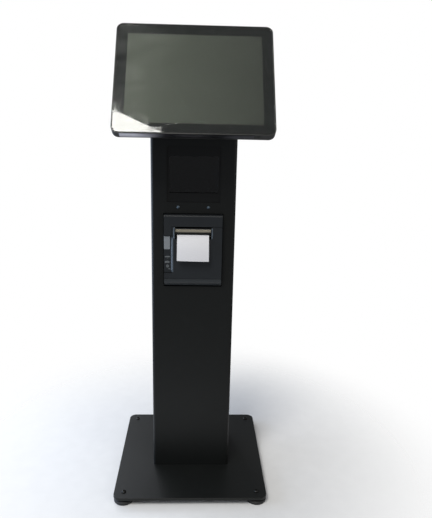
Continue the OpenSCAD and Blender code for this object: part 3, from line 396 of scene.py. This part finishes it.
# Red polycarbonate rocker: glossy, with fine wipe marks
red, tree, at = blank("red_polycarbonate")
wipes = add(tree, "ShaderNodeTexNoise", {"Vector": at, "Scale": 1000 / 2, "Detail": 5.0})["Fac"]
tone = add(tree, "ShaderNodeMix", {0: wipes, 6: colour("#6d1714"), 7: colour("#842320")}, data_type="RGBA")[2]
gloss = add(tree, "ShaderNodeMapRange", {"Value": wipes, "To Min": 0.16, "To Max": 0.3})["Result"]
shader = add(tree, "ShaderNodeBsdfPrincipled", {"Base Color": tone, "Roughness": gloss, "Coat Weight": 0.3})
add(tree, "ShaderNodeOutputMaterial", {"Surface": shader["BSDF"]})
softened("rocker_cap", "switch_rocker", 0.5, red)

# A grommet's section: two lips with a groove between them for the 2 mm panel
lips = [(7, -1.4), (7.3, -2), (11.6, -2), (12.4, -1.5), (12.5, -0.8), (12.2, 0), (10, 0), (10, 2), (12.2, 2),
        (12.5, 2.8), (12.4, 3.5), (11.6, 4), (7.4, 4), (7, 3.5)]
ring = turned(lips)[:, :, [0, 2, 1]] + middle("cable_grommet") * [1, 0, 1] + [0, 108, 0]
stand_in("rubber_grommet", [ring], rubber, ["cable_grommet"], "loop")

# ---- Power supply ----
# An enclosed supply in a folded aluminium case on the column's side wall, with its terminal block below.
# Seen only with the door open, or through the vents.

# Mill-finish aluminium: light grey with straight rolling lines 0.4 mm apart along the sheet
aluminium, tree, at = blank("rolled_aluminium")
along = add(tree, "ShaderNodeMapping", {"Vector": at, "Scale": (1000 / 0.4, 1000 / 0.4, 1000 / 30)})["Vector"]
lines = add(tree, "ShaderNodeTexNoise", {"Vector": along, "Scale": 1.0, "Detail": 3.0})["Fac"]
tone = add(tree, "ShaderNodeMix", {0: lines, 6: colour("#8e9193"), 7: colour("#b9bbbc")}, data_type="RGBA")[2]
dull = add(tree, "ShaderNodeMapRange", {"Value": lines, "To Min": 0.3, "To Max": 0.45})["Result"]
shader = add(tree, "ShaderNodeBsdfPrincipled", {"Base Color": tone, "Metallic": 1.0, "Roughness": dull})
add(tree, "ShaderNodeOutputMaterial", {"Surface": shader["BSDF"]})
paint(aluminium, "power_supply", "heat_sink")

# ---- Tilting mount ----
# Two bent steel brackets meet on a pair of bolts with lock nuts: one stands on the column's cap,
# the other is screwed to the four threaded inserts in the monitor's back.
softened("mount_on_cap", "tilt_bracket", 0.5, powder)
softened("mount_on_monitor", "monitor_bracket", 0.5, powder)
softened("tilt_bolts_and_nuts", "tilt_bolts", 0.3, zinc)
paint(zinc, "vesa_screws")

# ---- Monitor ----
# A 15 inch touch monitor: cover glass with a black printed border, bonded in a moulded frame,
# over the liquid-crystal panel. A stepped ABS shell with vents along its top closes the back.
tilt = np.radians(32)
deep = np.array([0, np.cos(tilt), -np.sin(tilt)])
rise = np.array([0, np.sin(tilt), np.cos(tilt)])
glass_thick = 3
glass_face = middle("touch_glass") - glass_thick / 2 * deep


def on_monitor(grid):
    """Places a shape drawn across X and up Y of the screen, with Z as depth behind it, on the tilted monitor."""
    x, y, z = np.moveaxis(grid, -1, 0)[..., None]
    return glass_face + x * [1, 0, 0] + y * rise + z * deep


def textured_abs(name, dark, light, gloss):
    """Moulded ABS with a fine spark-eroded texture of 0.5 mm, drawn a little coarse. Its tone drifts between the two
    given and its roughness from gloss to 0.1 above, as the mould's polish does."""
    material, tree, at = blank(name)
    spark = add(tree, "ShaderNodeTexVoronoi", {"Vector": at, "Scale": 1000 / 0.55})["Distance"]
    cast = add(tree, "ShaderNodeTexNoise", {"Vector": at, "Scale": 1000 / 65, "Detail": 3.0})["Fac"]
    tone = add(tree, "ShaderNodeMix", {0: cast, 6: colour(dark), 7: colour(light)}, data_type="RGBA")[2]
    satin = add(tree, "ShaderNodeMapRange", {"Value": cast, "To Min": gloss, "To Max": gloss + 0.1})["Result"]
    relief = add(tree, "ShaderNodeBump", {"Height": spark, "Strength": 0.2, "Distance": 0.00004})["Normal"]
    shader = add(tree, "ShaderNodeBsdfPrincipled", {
        "Base Color": tone, "Roughness": satin, "Normal": relief, "Specular IOR Level": 0.5})
    add(tree, "ShaderNodeOutputMaterial", {"Surface": shader["BSDF"]})
    return material


# A warm black for the monitor's mouldings: the frame, the shell and the power key beside it
monitor_abs = textured_abs("textured_ABS_warm_black", "#1b1c19", "#222320", 0.40)
softened("monitor_bezel", "monitor_frame", 0.9, monitor_abs)
softened("monitor_shell", "monitor_rear_cover", 0.8, monitor_abs)
softened("power_key", "power_button", 0.4, monitor_abs)

# A thin strip of satin aluminium lies along the frame's underside, painted silver at its left end as a painted
# reflection and dark grey beyond as painted shade
satin_metal, tree, at = blank("satin_aluminium_painted_reflection")
along = add(tree, "ShaderNodeMapping", {"Vector": at, "Scale": (1000 / 40, 1000 / 0.4, 1000 / 0.4)})["Vector"]
lines = add(tree, "ShaderNodeTexNoise", {"Vector": along, "Scale": 1.0, "Detail": 3.0})["Fac"]
split = add(tree, "ShaderNodeSeparateXYZ", {"Vector": at})
# painted reflection: the colour is silver left of x = -0.13 m and turns to the painted-shade grey by x = -0.06 m
dark = add(tree, "ShaderNodeMapRange", {"Value": split["X"], "From Min": -0.13, "From Max": -0.06})["Result"]
silver_tone = add(tree, "ShaderNodeMix", {0: lines, 6: colour("#b4b3bc"), 7: colour("#c6c5ce")}, data_type="RGBA")[2]
tone = add(tree, "ShaderNodeMix", {0: dark, 6: silver_tone, 7: colour("#3e3e42")}, data_type="RGBA")[2]
dull = add(tree, "ShaderNodeMapRange", {"Value": lines, "To Min": 0.2, "To Max": 0.34})["Result"]
shader = add(tree, "ShaderNodeBsdfPrincipled", {"Base Color": tone, "Metallic": 1.0, "Roughness": dull})
add(tree, "ShaderNodeOutputMaterial", {"Surface": shader["BSDF"]})
strip = slab(290, 15, 3, eased(0.8, 0.3))[..., [0, 2, 1]] - [15, 140.6, -9.5]
trim = surface("underside_trim", [on_monitor(strip)], satin_metal)
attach(trim, "monitor")

# Soda-lime cover glass with an oleophobic coat: clear, with faint finger smears that only its shine shows.
# Lamps reach the panel behind it because it lets their light straight through.
glass, tree, at = blank("cover_glass")
smear = add(tree, "ShaderNodeTexNoise", {"Vector": at, "Scale": 1000 / 60, "Detail": 4.0, "Distortion": 2.0})["Fac"]
film = add(tree, "ShaderNodeMapRange", {"Value": smear, "From Min": 0.4, "From Max": 0.8, "To Min": 0.02,
                                        "To Max": 0.09})["Result"]
shader = add(tree, "ShaderNodeBsdfPrincipled", {
    "Base Color": colour("#f2f5f3"), "Roughness": film, "IOR": 1.52, "Transmission Weight": 1.0})
lit = add(tree, "ShaderNodeLightPath", {})["Is Shadow Ray"]
clear = add(tree, "ShaderNodeBsdfTransparent", {"Color": colour("#f2f5f3")})
both = add(tree, "ShaderNodeMixShader", {0: lit, 1: shader["BSDF"], 2: clear["BSDF"]})
add(tree, "ShaderNodeOutputMaterial", {"Surface": both["Shader"]})
pane = slab(351.6, 275.6, 13.8, eased(2.9, 0.5))
stand_in("cover_glass_pane", [on_monitor(pane)], glass, ["touch_glass"])

# Ceramic ink fired on the back of the glass: an even dull black, with a fine screen-printed grain
ink, tree, at = blank("printed_ceramic_ink")
screen = add(tree, "ShaderNodeTexNoise", {"Vector": at, "Scale": 1000 / 1.2, "Detail": 2.0})["Fac"]
tone = add(tree, "ShaderNodeMix", {0: screen, 6: colour("#0a0b0a"), 7: colour("#0f100e")}, data_type="RGBA")[2]
shader = add(tree, "ShaderNodeBsdfPrincipled", {"Base Color": tone, "Roughness": 0.7, "Specular IOR Level": 0.05})
add(tree, "ShaderNodeOutputMaterial", {"Surface": shader["BSDF"]})
# The layer is 0.05 mm thick, just in front of the glass's back, with an opening the size of the active area
active_area = (304.1, 228.1)
rim = np.array([(0, 2.93), (0, 2.98)])
border = np.concatenate([slab(350.4, 274.4, 13.2, rim), slab(*active_area, 0.6, rim[::-1])])
printed = surface("printed_glass_border", [on_monitor(border)], ink, "loop")
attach(printed, "monitor")

# Front polariser of the unlit panel: dark grey-green film with an anti-glare haze of about 0.1 mm grain,
# drawn at 0.3 mm. Its tone is painted lighter on the left and darker on the right, a painted reflection of the lamps on
# the left.
panel, tree, at = blank("antiglare_polariser_painted_reflection")
haze = add(tree, "ShaderNodeTexNoise", {"Vector": at, "Scale": 1000 / 0.3, "Detail": 1.0})["Fac"]
cells = add(tree, "ShaderNodeTexNoise", {"Vector": at, "Scale": 1000 / 1.1, "Detail": 1.0})["Fac"]
split = add(tree, "ShaderNodeSeparateXYZ", {"Vector": at})
# painted reflection: the tone runs from lighter at x = -0.15 m to darker at x = 0.15 m
drift = add(tree, "ShaderNodeMapRange", {"Value": split["X"], "From Min": -0.15, "From Max": 0.15})["Result"]
base = add(tree, "ShaderNodeMix", {0: drift, 6: colour("#3e4139"), 7: colour("#282a24")}, data_type="RGBA")[2]
light = add(tree, "ShaderNodeMix", {0: drift, 6: colour("#454840"), 7: colour("#2e302a")}, data_type="RGBA")[2]
tone = add(tree, "ShaderNodeMix", {0: cells, 6: base, 7: light}, data_type="RGBA")[2]
relief = add(tree, "ShaderNodeBump", {"Height": haze, "Strength": 0.2, "Distance": 0.00002})["Normal"]
shader = add(tree, "ShaderNodeBsdfPrincipled", {
    "Base Color": tone, "Roughness": 0.6, "Normal": relief, "Specular IOR Level": 0.15})
add(tree, "ShaderNodeOutputMaterial", {"Surface": shader["BSDF"]})
paint(panel, "lcd_panel")

# Circuit board: green solder mask over copper tracks on a 1.6 mm glass-epoxy sheet. The tracks are 0.5 mm wide
# and run square to the board's edges, and the mask is glossy with a slight swell over each.
board, tree, at = blank("solder_mask_on_glass_epoxy")
tracks = add(tree, "ShaderNodeTexBrick", {
    "Vector": at, "Scale": 1000 / 6, "Mortar Size": 0.06, "Color1": colour("#17452a"),
    "Color2": colour("#1b4d2f"), "Mortar": colour("#3c7a45")}, offset=0.37)
relief = add(tree, "ShaderNodeBump", {"Height": tracks["Fac"], "Strength": 0.3, "Distance": 0.00005})["Normal"]
shader = add(tree, "ShaderNodeBsdfPrincipled", {
    "Base Color": tracks["Color"], "Roughness": 0.28, "Normal": relief, "Coat Weight": 0.2})
add(tree, "ShaderNodeOutputMaterial", {"Surface": shader["BSDF"]})
paint(board, "main_board", "scanner_board", "printer_board")

# ---- Scanner ----
# A barcode scanner sunk behind the column's opening: a black frame with a sloping sill round a smoked window.
# Behind it, a spinning mirror throws a laser on two fold mirrors in a closed housing.

# Deep black ABS: matt, and near black, darker than the other black mouldings: painted shade that keeps the recess dark
deep_abs, tree, at = blank("matt_black_ABS")
spark = add(tree, "ShaderNodeTexNoise", {"Vector": at, "Scale": 1000 / 0.5, "Detail": 2.0})["Fac"]
cast = add(tree, "ShaderNodeTexNoise", {"Vector": at, "Scale": 1000 / 40, "Detail": 3.0})["Fac"]
tone = add(tree, "ShaderNodeMix", {0: cast, 6: colour("#070808"), 7: colour("#0c0d0d")}, data_type="RGBA")[2]
satin = add(tree, "ShaderNodeMapRange", {"Value": cast, "To Min": 0.4, "To Max": 0.55})["Result"]
relief = add(tree, "ShaderNodeBump", {"Height": spark, "Strength": 0.2, "Distance": 0.00004})["Normal"]
shader = add(tree, "ShaderNodeBsdfPrincipled", {
    "Base Color": tone, "Roughness": satin, "Normal": relief, "Specular IOR Level": 0.35})
add(tree, "ShaderNodeOutputMaterial", {"Surface": shader["BSDF"]})
softened("scanner_surround", "scanner_bezel", 0.5, deep_abs)
paint(deep_abs, "scanner_housing", "polygon_motor")

# Smoked acrylic window: a dark grey tint that only shows what stands close behind it, and a hard gloss
smoked, tree, at = blank("smoked_acrylic")
dust = add(tree, "ShaderNodeTexNoise", {"Vector": at, "Scale": 1000 / 12, "Detail": 6.0})["Fac"]
film = add(tree, "ShaderNodeMapRange", {"Value": dust, "To Min": 0.02, "To Max": 0.12})["Result"]
shader = add(tree, "ShaderNodeBsdfPrincipled", {
    "Base Color": colour("#4a5054"), "Roughness": film, "IOR": 1.49, "Transmission Weight": 1.0})
lit = add(tree, "ShaderNodeLightPath", {})["Is Shadow Ray"]
clear = add(tree, "ShaderNodeBsdfTransparent", {"Color": colour("#8a9094")})
both = add(tree, "ShaderNodeMixShader", {0: lit, 1: shader["BSDF"], 2: clear["BSDF"]})
add(tree, "ShaderNodeOutputMaterial", {"Surface": both["Shader"]})
pane = slab(125, 92, 0.6, eased(2, 0.3))[..., [0, 2, 1]] + middle("scanner_window") - [0, 1, 0]
stand_in("smoked_window", [pane], smoked, ["scanner_window"])

# Front-silvered glass of the scan mirrors: grey and hazy under years of dust
silver, tree, at = blank("silvered_glass")
dust = add(tree, "ShaderNodeTexNoise", {"Vector": at, "Scale": 1000 / 4, "Detail": 7.0})["Fac"]
dull = add(tree, "ShaderNodeMapRange", {"Value": dust, "To Min": 0.3, "To Max": 0.45})["Result"]
shader = add(tree, "ShaderNodeBsdfPrincipled", {"Base Color": colour("#9aa2a6"), "Metallic": 1.0, "Roughness": dull})
add(tree, "ShaderNodeOutputMaterial", {"Surface": shader["BSDF"]})
paint(silver, "scanner_mirrors", "polygon_mirror")

# Turned brass: warm yellow with rings from the tool 0.3 mm apart
brass, tree, at = blank("turned_brass")
rings = add(tree, "ShaderNodeTexWave", {"Vector": at, "Scale": 1000 / 6, "Distortion": 2.0, "Detail": 3.0})["Fac"]
tone = add(tree, "ShaderNodeMix", {0: rings, 6: colour("#9c7a3d"), 7: colour("#bf9a58")}, data_type="RGBA")[2]
dull = add(tree, "ShaderNodeMapRange", {"Value": rings, "To Min": 0.24, "To Max": 0.36})["Result"]
shader = add(tree, "ShaderNodeBsdfPrincipled", {"Base Color": tone, "Metallic": 1.0, "Roughness": dull})
add(tree, "ShaderNodeOutputMaterial", {"Surface": shader["BSDF"]})
paint(brass, "laser_module", "motor_pinion")
paint(zinc, "scanner_bracket", "printer_shelf", "head_frame", "feed_motor")

# Two button-head screws hold the bracket behind; their bare steel heads are blue-grey with a soft sheen
bright, tree, at = blank("polished_steel")
hairs = add(tree, "ShaderNodeTexNoise", {"Vector": at, "Scale": 1000 / 0.4, "Detail": 4.0})["Fac"]
dull = add(tree, "ShaderNodeMapRange", {"Value": hairs, "To Min": 0.45, "To Max": 0.58})["Result"]
tone = add(tree, "ShaderNodeMix", {0: hairs, 6: colour("#55616a"), 7: colour("#6c7881")}, data_type="RGBA")[2]
shader = add(tree, "ShaderNodeBsdfPrincipled", {"Base Color": tone, "Metallic": 1.0, "Roughness": dull})
add(tree, "ShaderNodeOutputMaterial", {"Surface": shader["BSDF"]})
paint(bright, "scanner_screws")

# ---- Printer mouldings ----
# A case that shows only as a band below, a fixed cover above the slot, and a hinged cover between them, all ABS.
# The hinged one is notched for the ticket, and a sunken strip beside it carries a grey release button and lamps.

# Blue-black ABS, a shade bluer than the column, and a lighter copy of it for the case, whose band is painted lighter as
# a painted highlight
printer_abs = textured_abs("textured_ABS_blue_black", "#1c1f22", "#22262a", 0.36)
case_abs_painted_lighter = textured_abs("textured_ABS_grey_black", "#2b2f31", "#33373a", 0.36)
softened("printer_body", "printer_case", 0.5, case_abs_painted_lighter)
softened("cover_over_slot", "slot_cover", 0.6, printer_abs)
softened("hinged_cover", "roll_cover", 0.6, printer_abs)
softened("button_strip", "control_panel", 0.4, printer_abs)
paint(deep_abs, "roll_holder", "print_head")

# Light grey ABS of the release key, polished in patches by fingers. The feed key is a darker grey.
key_abs, tree, at = blank("light_grey_ABS")
wear = add(tree, "ShaderNodeTexNoise", {"Vector": at, "Scale": 1000 / 8, "Detail": 4.0})["Fac"]
tone = add(tree, "ShaderNodeMix", {0: wear, 6: colour("#81868a"), 7: colour("#90959a")}, data_type="RGBA")[2]
gloss = add(tree, "ShaderNodeMapRange", {"Value": wear, "To Min": 0.3, "To Max": 0.45})["Result"]
shader = add(tree, "ShaderNodeBsdfPrincipled", {"Base Color": tone, "Roughness": gloss, "Specular IOR Level": 0.5})
add(tree, "ShaderNodeOutputMaterial", {"Surface": shader["BSDF"]})
softened("release_key", "cover_button", 0.8, key_abs)
softened("feed_key", "feed_button", 0.5, textured_abs("textured_ABS_mid_grey", "#55595b", "#606466", 0.36))

# Lamp lenses: smoked polycarbonate bars, dark while the lamps behind them are out, flush in the strip
lens, tree, at = blank("smoked_polycarbonate")
cloud = add(tree, "ShaderNodeTexNoise", {"Vector": at, "Scale": 1000 / 2, "Detail": 2.0})["Fac"]
tone = add(tree, "ShaderNodeMix", {0: cloud, 6: colour("#2a2f32"), 7: colour("#343a3d")}, data_type="RGBA")[2]
shader = add(tree, "ShaderNodeBsdfPrincipled", {"Base Color": tone, "Roughness": 0.22, "Specular IOR Level": 0.5})
add(tree, "ShaderNodeOutputMaterial", {"Surface": shader["BSDF"]})
softened("lamp_lenses", "status_lamps", 0.3, lens)

# Pad-printed marks in light grey ink: plain blocks, one between the lamps, one below them and a small one under the
# feed key
print_ink, tree, at = blank("light_grey_pad_print")
screen = add(tree, "ShaderNodeTexNoise", {"Vector": at, "Scale": 1000 / 0.6, "Detail": 2.0})["Fac"]
tone = add(tree, "ShaderNodeMix", {0: screen, 6: colour("#65696b"), 7: colour("#74787a")}, data_type="RGBA")[2]
shader = add(tree, "ShaderNodeBsdfPrincipled", {"Base Color": tone, "Roughness": 0.5, "Specular IOR Level": 0.3})
add(tree, "ShaderNodeOutputMaterial", {"Surface": shader["BSDF"]})
# x and z of each mark's middle, then its width and height
strip_front, lamp_low = -71.0, 624.5
marks = [(-64.0, lamp_low + 10.3, 12.8, 2.9), (-64.6, lamp_low - 3.5, 11.4, 4.4), (-59.4, lamp_low - 21.5, 4.2, 2.6)]
blocks = [slab(wide, high, 0.4, [(0, -0.04), (0, 0.04)])[..., [0, 2, 1]] + [x, strip_front, z]
          for x, z, wide, high in marks]
printed = surface("printed_marks", blocks, print_ink)
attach(printed, "stand")

# Edges of the hinged cover that hands touch: polished moulded lips, glossier than the textured face and painted a light
# blue-grey as a painted highlight
polished, tree, at = blank("polished_ABS_lips_painted_highlight")
hairs = add(tree, "ShaderNodeTexNoise", {"Vector": at, "Scale": 1000 / 1.5, "Detail": 4.0})["Fac"]
# painted highlight: light blue-grey, far lighter than the cover's blue-black
tone = add(tree, "ShaderNodeMix", {0: hairs, 6: colour("#48525b"), 7: colour("#58626b")}, data_type="RGBA")[2]
dull = add(tree, "ShaderNodeMapRange", {"Value": hairs, "To Min": 0.2, "To Max": 0.34})["Result"]
shader = add(tree, "ShaderNodeBsdfPrincipled", {"Base Color": tone, "Roughness": dull, "Specular IOR Level": 0.6})
add(tree, "ShaderNodeOutputMaterial", {"Surface": shader["BSDF"]})


def lip(x, y, top, bottom, radius, hook, bow, end):
    """A raised lip down the cover's face: a sector of a circle, from its left side to the angle end, carried along a
    path that bows aside by a half sine and ends in a quarter turn of radius hook to the left. It tapers at both ends
    as (1 - |2u - 1|^12) to the power 0.5 for u from 0 to 1 along it."""
    straight = top - bottom - hook
    s = np.linspace(0, straight + hook * np.pi / 2, 60)[:, None]
    u = s / s[-1]
    turn = np.clip((s - straight) / hook, 0, np.pi / 2)
    size = np.maximum(radius * (1 - np.abs(2 * u - 1) ** 12) ** 0.5, 0.03)
    a = np.linspace(np.pi, end, 14)
    out, ahead = np.append(np.cos(a), 0), np.append(np.sin(a), 0)
    return np.stack([x - hook * (1 - np.cos(turn)) + bow * np.sin(np.pi * u) + size * out * np.cos(turn),
                     y + size * ahead,
                     top - np.minimum(s, straight) - hook * np.sin(turn) - size * out * np.sin(turn)], -1)


lips = surface("cover_lips", [lip(-46.9, -75.3, 711.5, 682.5, 2.0, 1.5, -0.6, 2 * np.pi),
                              lip(47.2, -75.5, 709.5, 682.5, 1.6, 1.5, 0.6, 2 * np.pi),
                              lip(-49.2, -71.1, 690, 592.6, 6.0, 3.5, 0, 1.5 * np.pi)], polished)
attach(lips, "paper_door")

# ---- Printer mechanism ----
# A toothed bar of spring steel tears the ticket. Below it the rubber platen in the hinged cover presses the paper
# on the print head, driven by a pinion and an idler in white acetal. The roll hangs on two hubs.

# Spring steel, tempered to a pale straw and ground along its length
straw, tree, at = blank("tempered_spring_steel")
along = add(tree, "ShaderNodeMapping", {"Vector": at, "Scale": (1000 / 25, 1000 / 0.3, 1000 / 0.3)})["Vector"]
lines = add(tree, "ShaderNodeTexNoise", {"Vector": along, "Scale": 1.0, "Detail": 3.0})["Fac"]
tone = add(tree, "ShaderNodeMix", {0: lines, 6: colour("#cfc6b0"), 7: colour("#e2dac6")}, data_type="RGBA")[2]
dull = add(tree, "ShaderNodeMapRange", {"Value": lines, "To Min": 0.35, "To Max": 0.5})["Result"]
shader = add(tree, "ShaderNodeBsdfPrincipled", {"Base Color": tone, "Metallic": 1.0, "Roughness": dull})
add(tree, "ShaderNodeOutputMaterial", {"Surface": shader["BSDF"]})
bar_low, bar_y, reach = 697.5, -70, 44
tooth_depth, tooth_pitch = 0.9, 2.2
x = np.linspace(-reach, reach, 161)
tooth = tooth_depth * np.abs((x / tooth_pitch) % 1 - 0.5) * 2
section = [(0.0, 0.15), (0.25, 0), (1, 0), (1.6, 0.6), (1.6, 7), (1.5, 7.3), (1.3, 7.3), (0, 5.9)]
bar = np.array([[(at_x, bar_y + y, bar_low + z + low * max(0, 1 - z)) for y, z in section]
                for at_x, low in zip(x, tooth)])
stand_in("toothed_tear_bar", [bar], straw, ["tear_bar"])
paint(rubber, "platen_roller")

# A thin strip of matt black ABS, carried by the hinged cover between the notch's sides below the tear bar, is a dark
# sheet put there as painted shade over the ticket
shade_strip = slab(95, 5, 0.8, eased(1.8, 0.5))[..., [0, 2, 1]] + [0, -72.6, 694.6]
held = surface("painted_shade_strip", [shade_strip], deep_abs)
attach(held, "paper_door")

# Natural acetal: waxy off-white with a soft sheen
acetal, tree, at = blank("natural_acetal")
cloud = add(tree, "ShaderNodeTexNoise", {"Vector": at, "Scale": 1000 / 3, "Detail": 3.0})["Fac"]
tone = add(tree, "ShaderNodeMix", {0: cloud, 6: colour("#cfccbe"), 7: colour("#dddacd")}, data_type="RGBA")[2]
shader = add(tree, "ShaderNodeBsdfPrincipled", {
    "Base Color": tone, "Roughness": 0.38, "Subsurface Weight": 0.15, "Subsurface Scale": 0.001})
add(tree, "ShaderNodeOutputMaterial", {"Surface": shader["BSDF"]})
paint(acetal, "idler_gear")

# Thermal paper: smooth, slightly blue white, with a faint cloud of fibres 2 mm across and a dull sheen on its face
paper, tree, at = blank("thermal_paper")
fibres = add(tree, "ShaderNodeTexNoise", {"Vector": at, "Scale": 1000 / 2, "Detail": 6.0, "Roughness": 0.65})["Fac"]
tone = add(tree, "ShaderNodeMix", {0: fibres, 6: colour("#e6e6ea"), 7: colour("#f2f2f6")}, data_type="RGBA")[2]
relief = add(tree, "ShaderNodeBump", {"Height": fibres, "Strength": 0.1, "Distance": 0.00005})["Normal"]
shader = add(tree, "ShaderNodeBsdfPrincipled", {
    "Base Color": tone, "Roughness": 0.55, "Normal": relief, "Specular IOR Level": 0.3})
add(tree, "ShaderNodeOutputMaterial", {"Surface": shader["BSDF"]})

# The wound roll: on its end faces each turn of paper is a ring, drawn every 0.8 mm, darker between the turns
wound, tree, at = blank("wound_paper")
core = middle("paper_roll") / 1000
centred = add(tree, "ShaderNodeMapping", {"Vector": at, "Location": tuple(-core)})["Vector"]
split = add(tree, "ShaderNodeSeparateXYZ", {"Vector": centred})
flat = add(tree, "ShaderNodeCombineXYZ", {"Y": split["Y"], "Z": split["Z"]})["Vector"]
radius = add(tree, "ShaderNodeVectorMath", {0: flat}, operation="LENGTH")["Value"]
turns = add(tree, "ShaderNodeMath", {0: radius, 1: 2 * np.pi * 1000 / 0.8}, operation="MULTIPLY")[0]
gaps = add(tree, "ShaderNodeMath", {0: turns}, operation="SINE")[0]
share = add(tree, "ShaderNodeMapRange", {"Value": gaps, "From Min": -1.0, "From Max": 1.0})["Result"]
tone = add(tree, "ShaderNodeMix", {0: share, 6: colour("#c4c3bf"), 7: colour("#e6e5e2")}, data_type="RGBA")[2]
relief = add(tree, "ShaderNodeBump", {"Height": share, "Strength": 0.2, "Distance": 0.0001})["Normal"]
shader = add(tree, "ShaderNodeBsdfPrincipled", {
    "Base Color": tone, "Roughness": 0.7, "Normal": relief, "Specular IOR Level": 0.2})
add(tree, "ShaderNodeOutputMaterial", {"Surface": shader["BSDF"]})
paint(wound, "paper_roll")

# ---- Ticket ----
# A strip of 80 mm thermal paper from the slot: it leaves the platen, passes under the strip of painted shade and over
# the notch, bends and hangs down. Its edges lie a little behind its middle and its end is torn, with fine teeth.
# It lies round the platen at path_radius for the first share on_platen of its length.
width, thick, platen_axis, wrap = 79.5, 0.12, (-62, 690.5), np.radians(48)
path_radius, on_platen = 6.3, 0.08


def ticket_path(u):
    """(y, z) along the strip for u from 0 to 1: round the platen by the wrap angle up to u = on_platen, then a cubic
    Bezier curve that leaves at that slope and ends hanging down."""
    turn = wrap * np.clip(u / on_platen, 0, 1)
    t = np.clip((u - on_platen) / (1 - on_platen), 0, 1)
    start = np.array([platen_axis[0] - path_radius * np.sin(wrap), platen_axis[1] + path_radius * np.cos(wrap)])
    points = [start, start + [-11, -9], start + [-23.8, -22], np.array([-92.6, 628.4])]
    share = [(1 - t) ** 3, 3 * t * (1 - t) ** 2, 3 * t ** 2 * (1 - t), t ** 3]
    y, z = [sum(w * p[axis] for w, p in zip(share, points)) for axis in (0, 1)]
    round_it = u < on_platen
    return (np.where(round_it, platen_axis[0] - path_radius * np.sin(turn), y),
            np.where(round_it, platen_axis[1] + path_radius * np.cos(turn), z))


across = np.linspace(-1, 1, 121)
teeth = 0.005 * np.abs((across * 20) % 1 - 0.5) * 2
u = np.linspace(0, 1, 72)[:, None] * (1 - teeth)
y, z = ticket_path(u)
free = np.clip((u - 0.15) / 0.3, 0, 1)
y = y + 1.4 * across ** 2 * free
z = z - 1.1 * np.abs(across) ** 3 * free * (1 - u) - 0.6 * across * u ** 2
front = np.stack([across * width / 2 * (1 - 0.012 * free * (1 - u)) + 0 * u, y, z], -1)
slope = np.gradient(front, axis=0)
lean = np.cross(slope, [1, 0, 0])
behind = front + thick * lean / np.linalg.norm(lean, axis=-1, keepdims=True)
ticket = np.concatenate([front, behind[:, ::-1]], axis=1)
stand_in("hanging_ticket", [ticket], paper, ["ticket"])
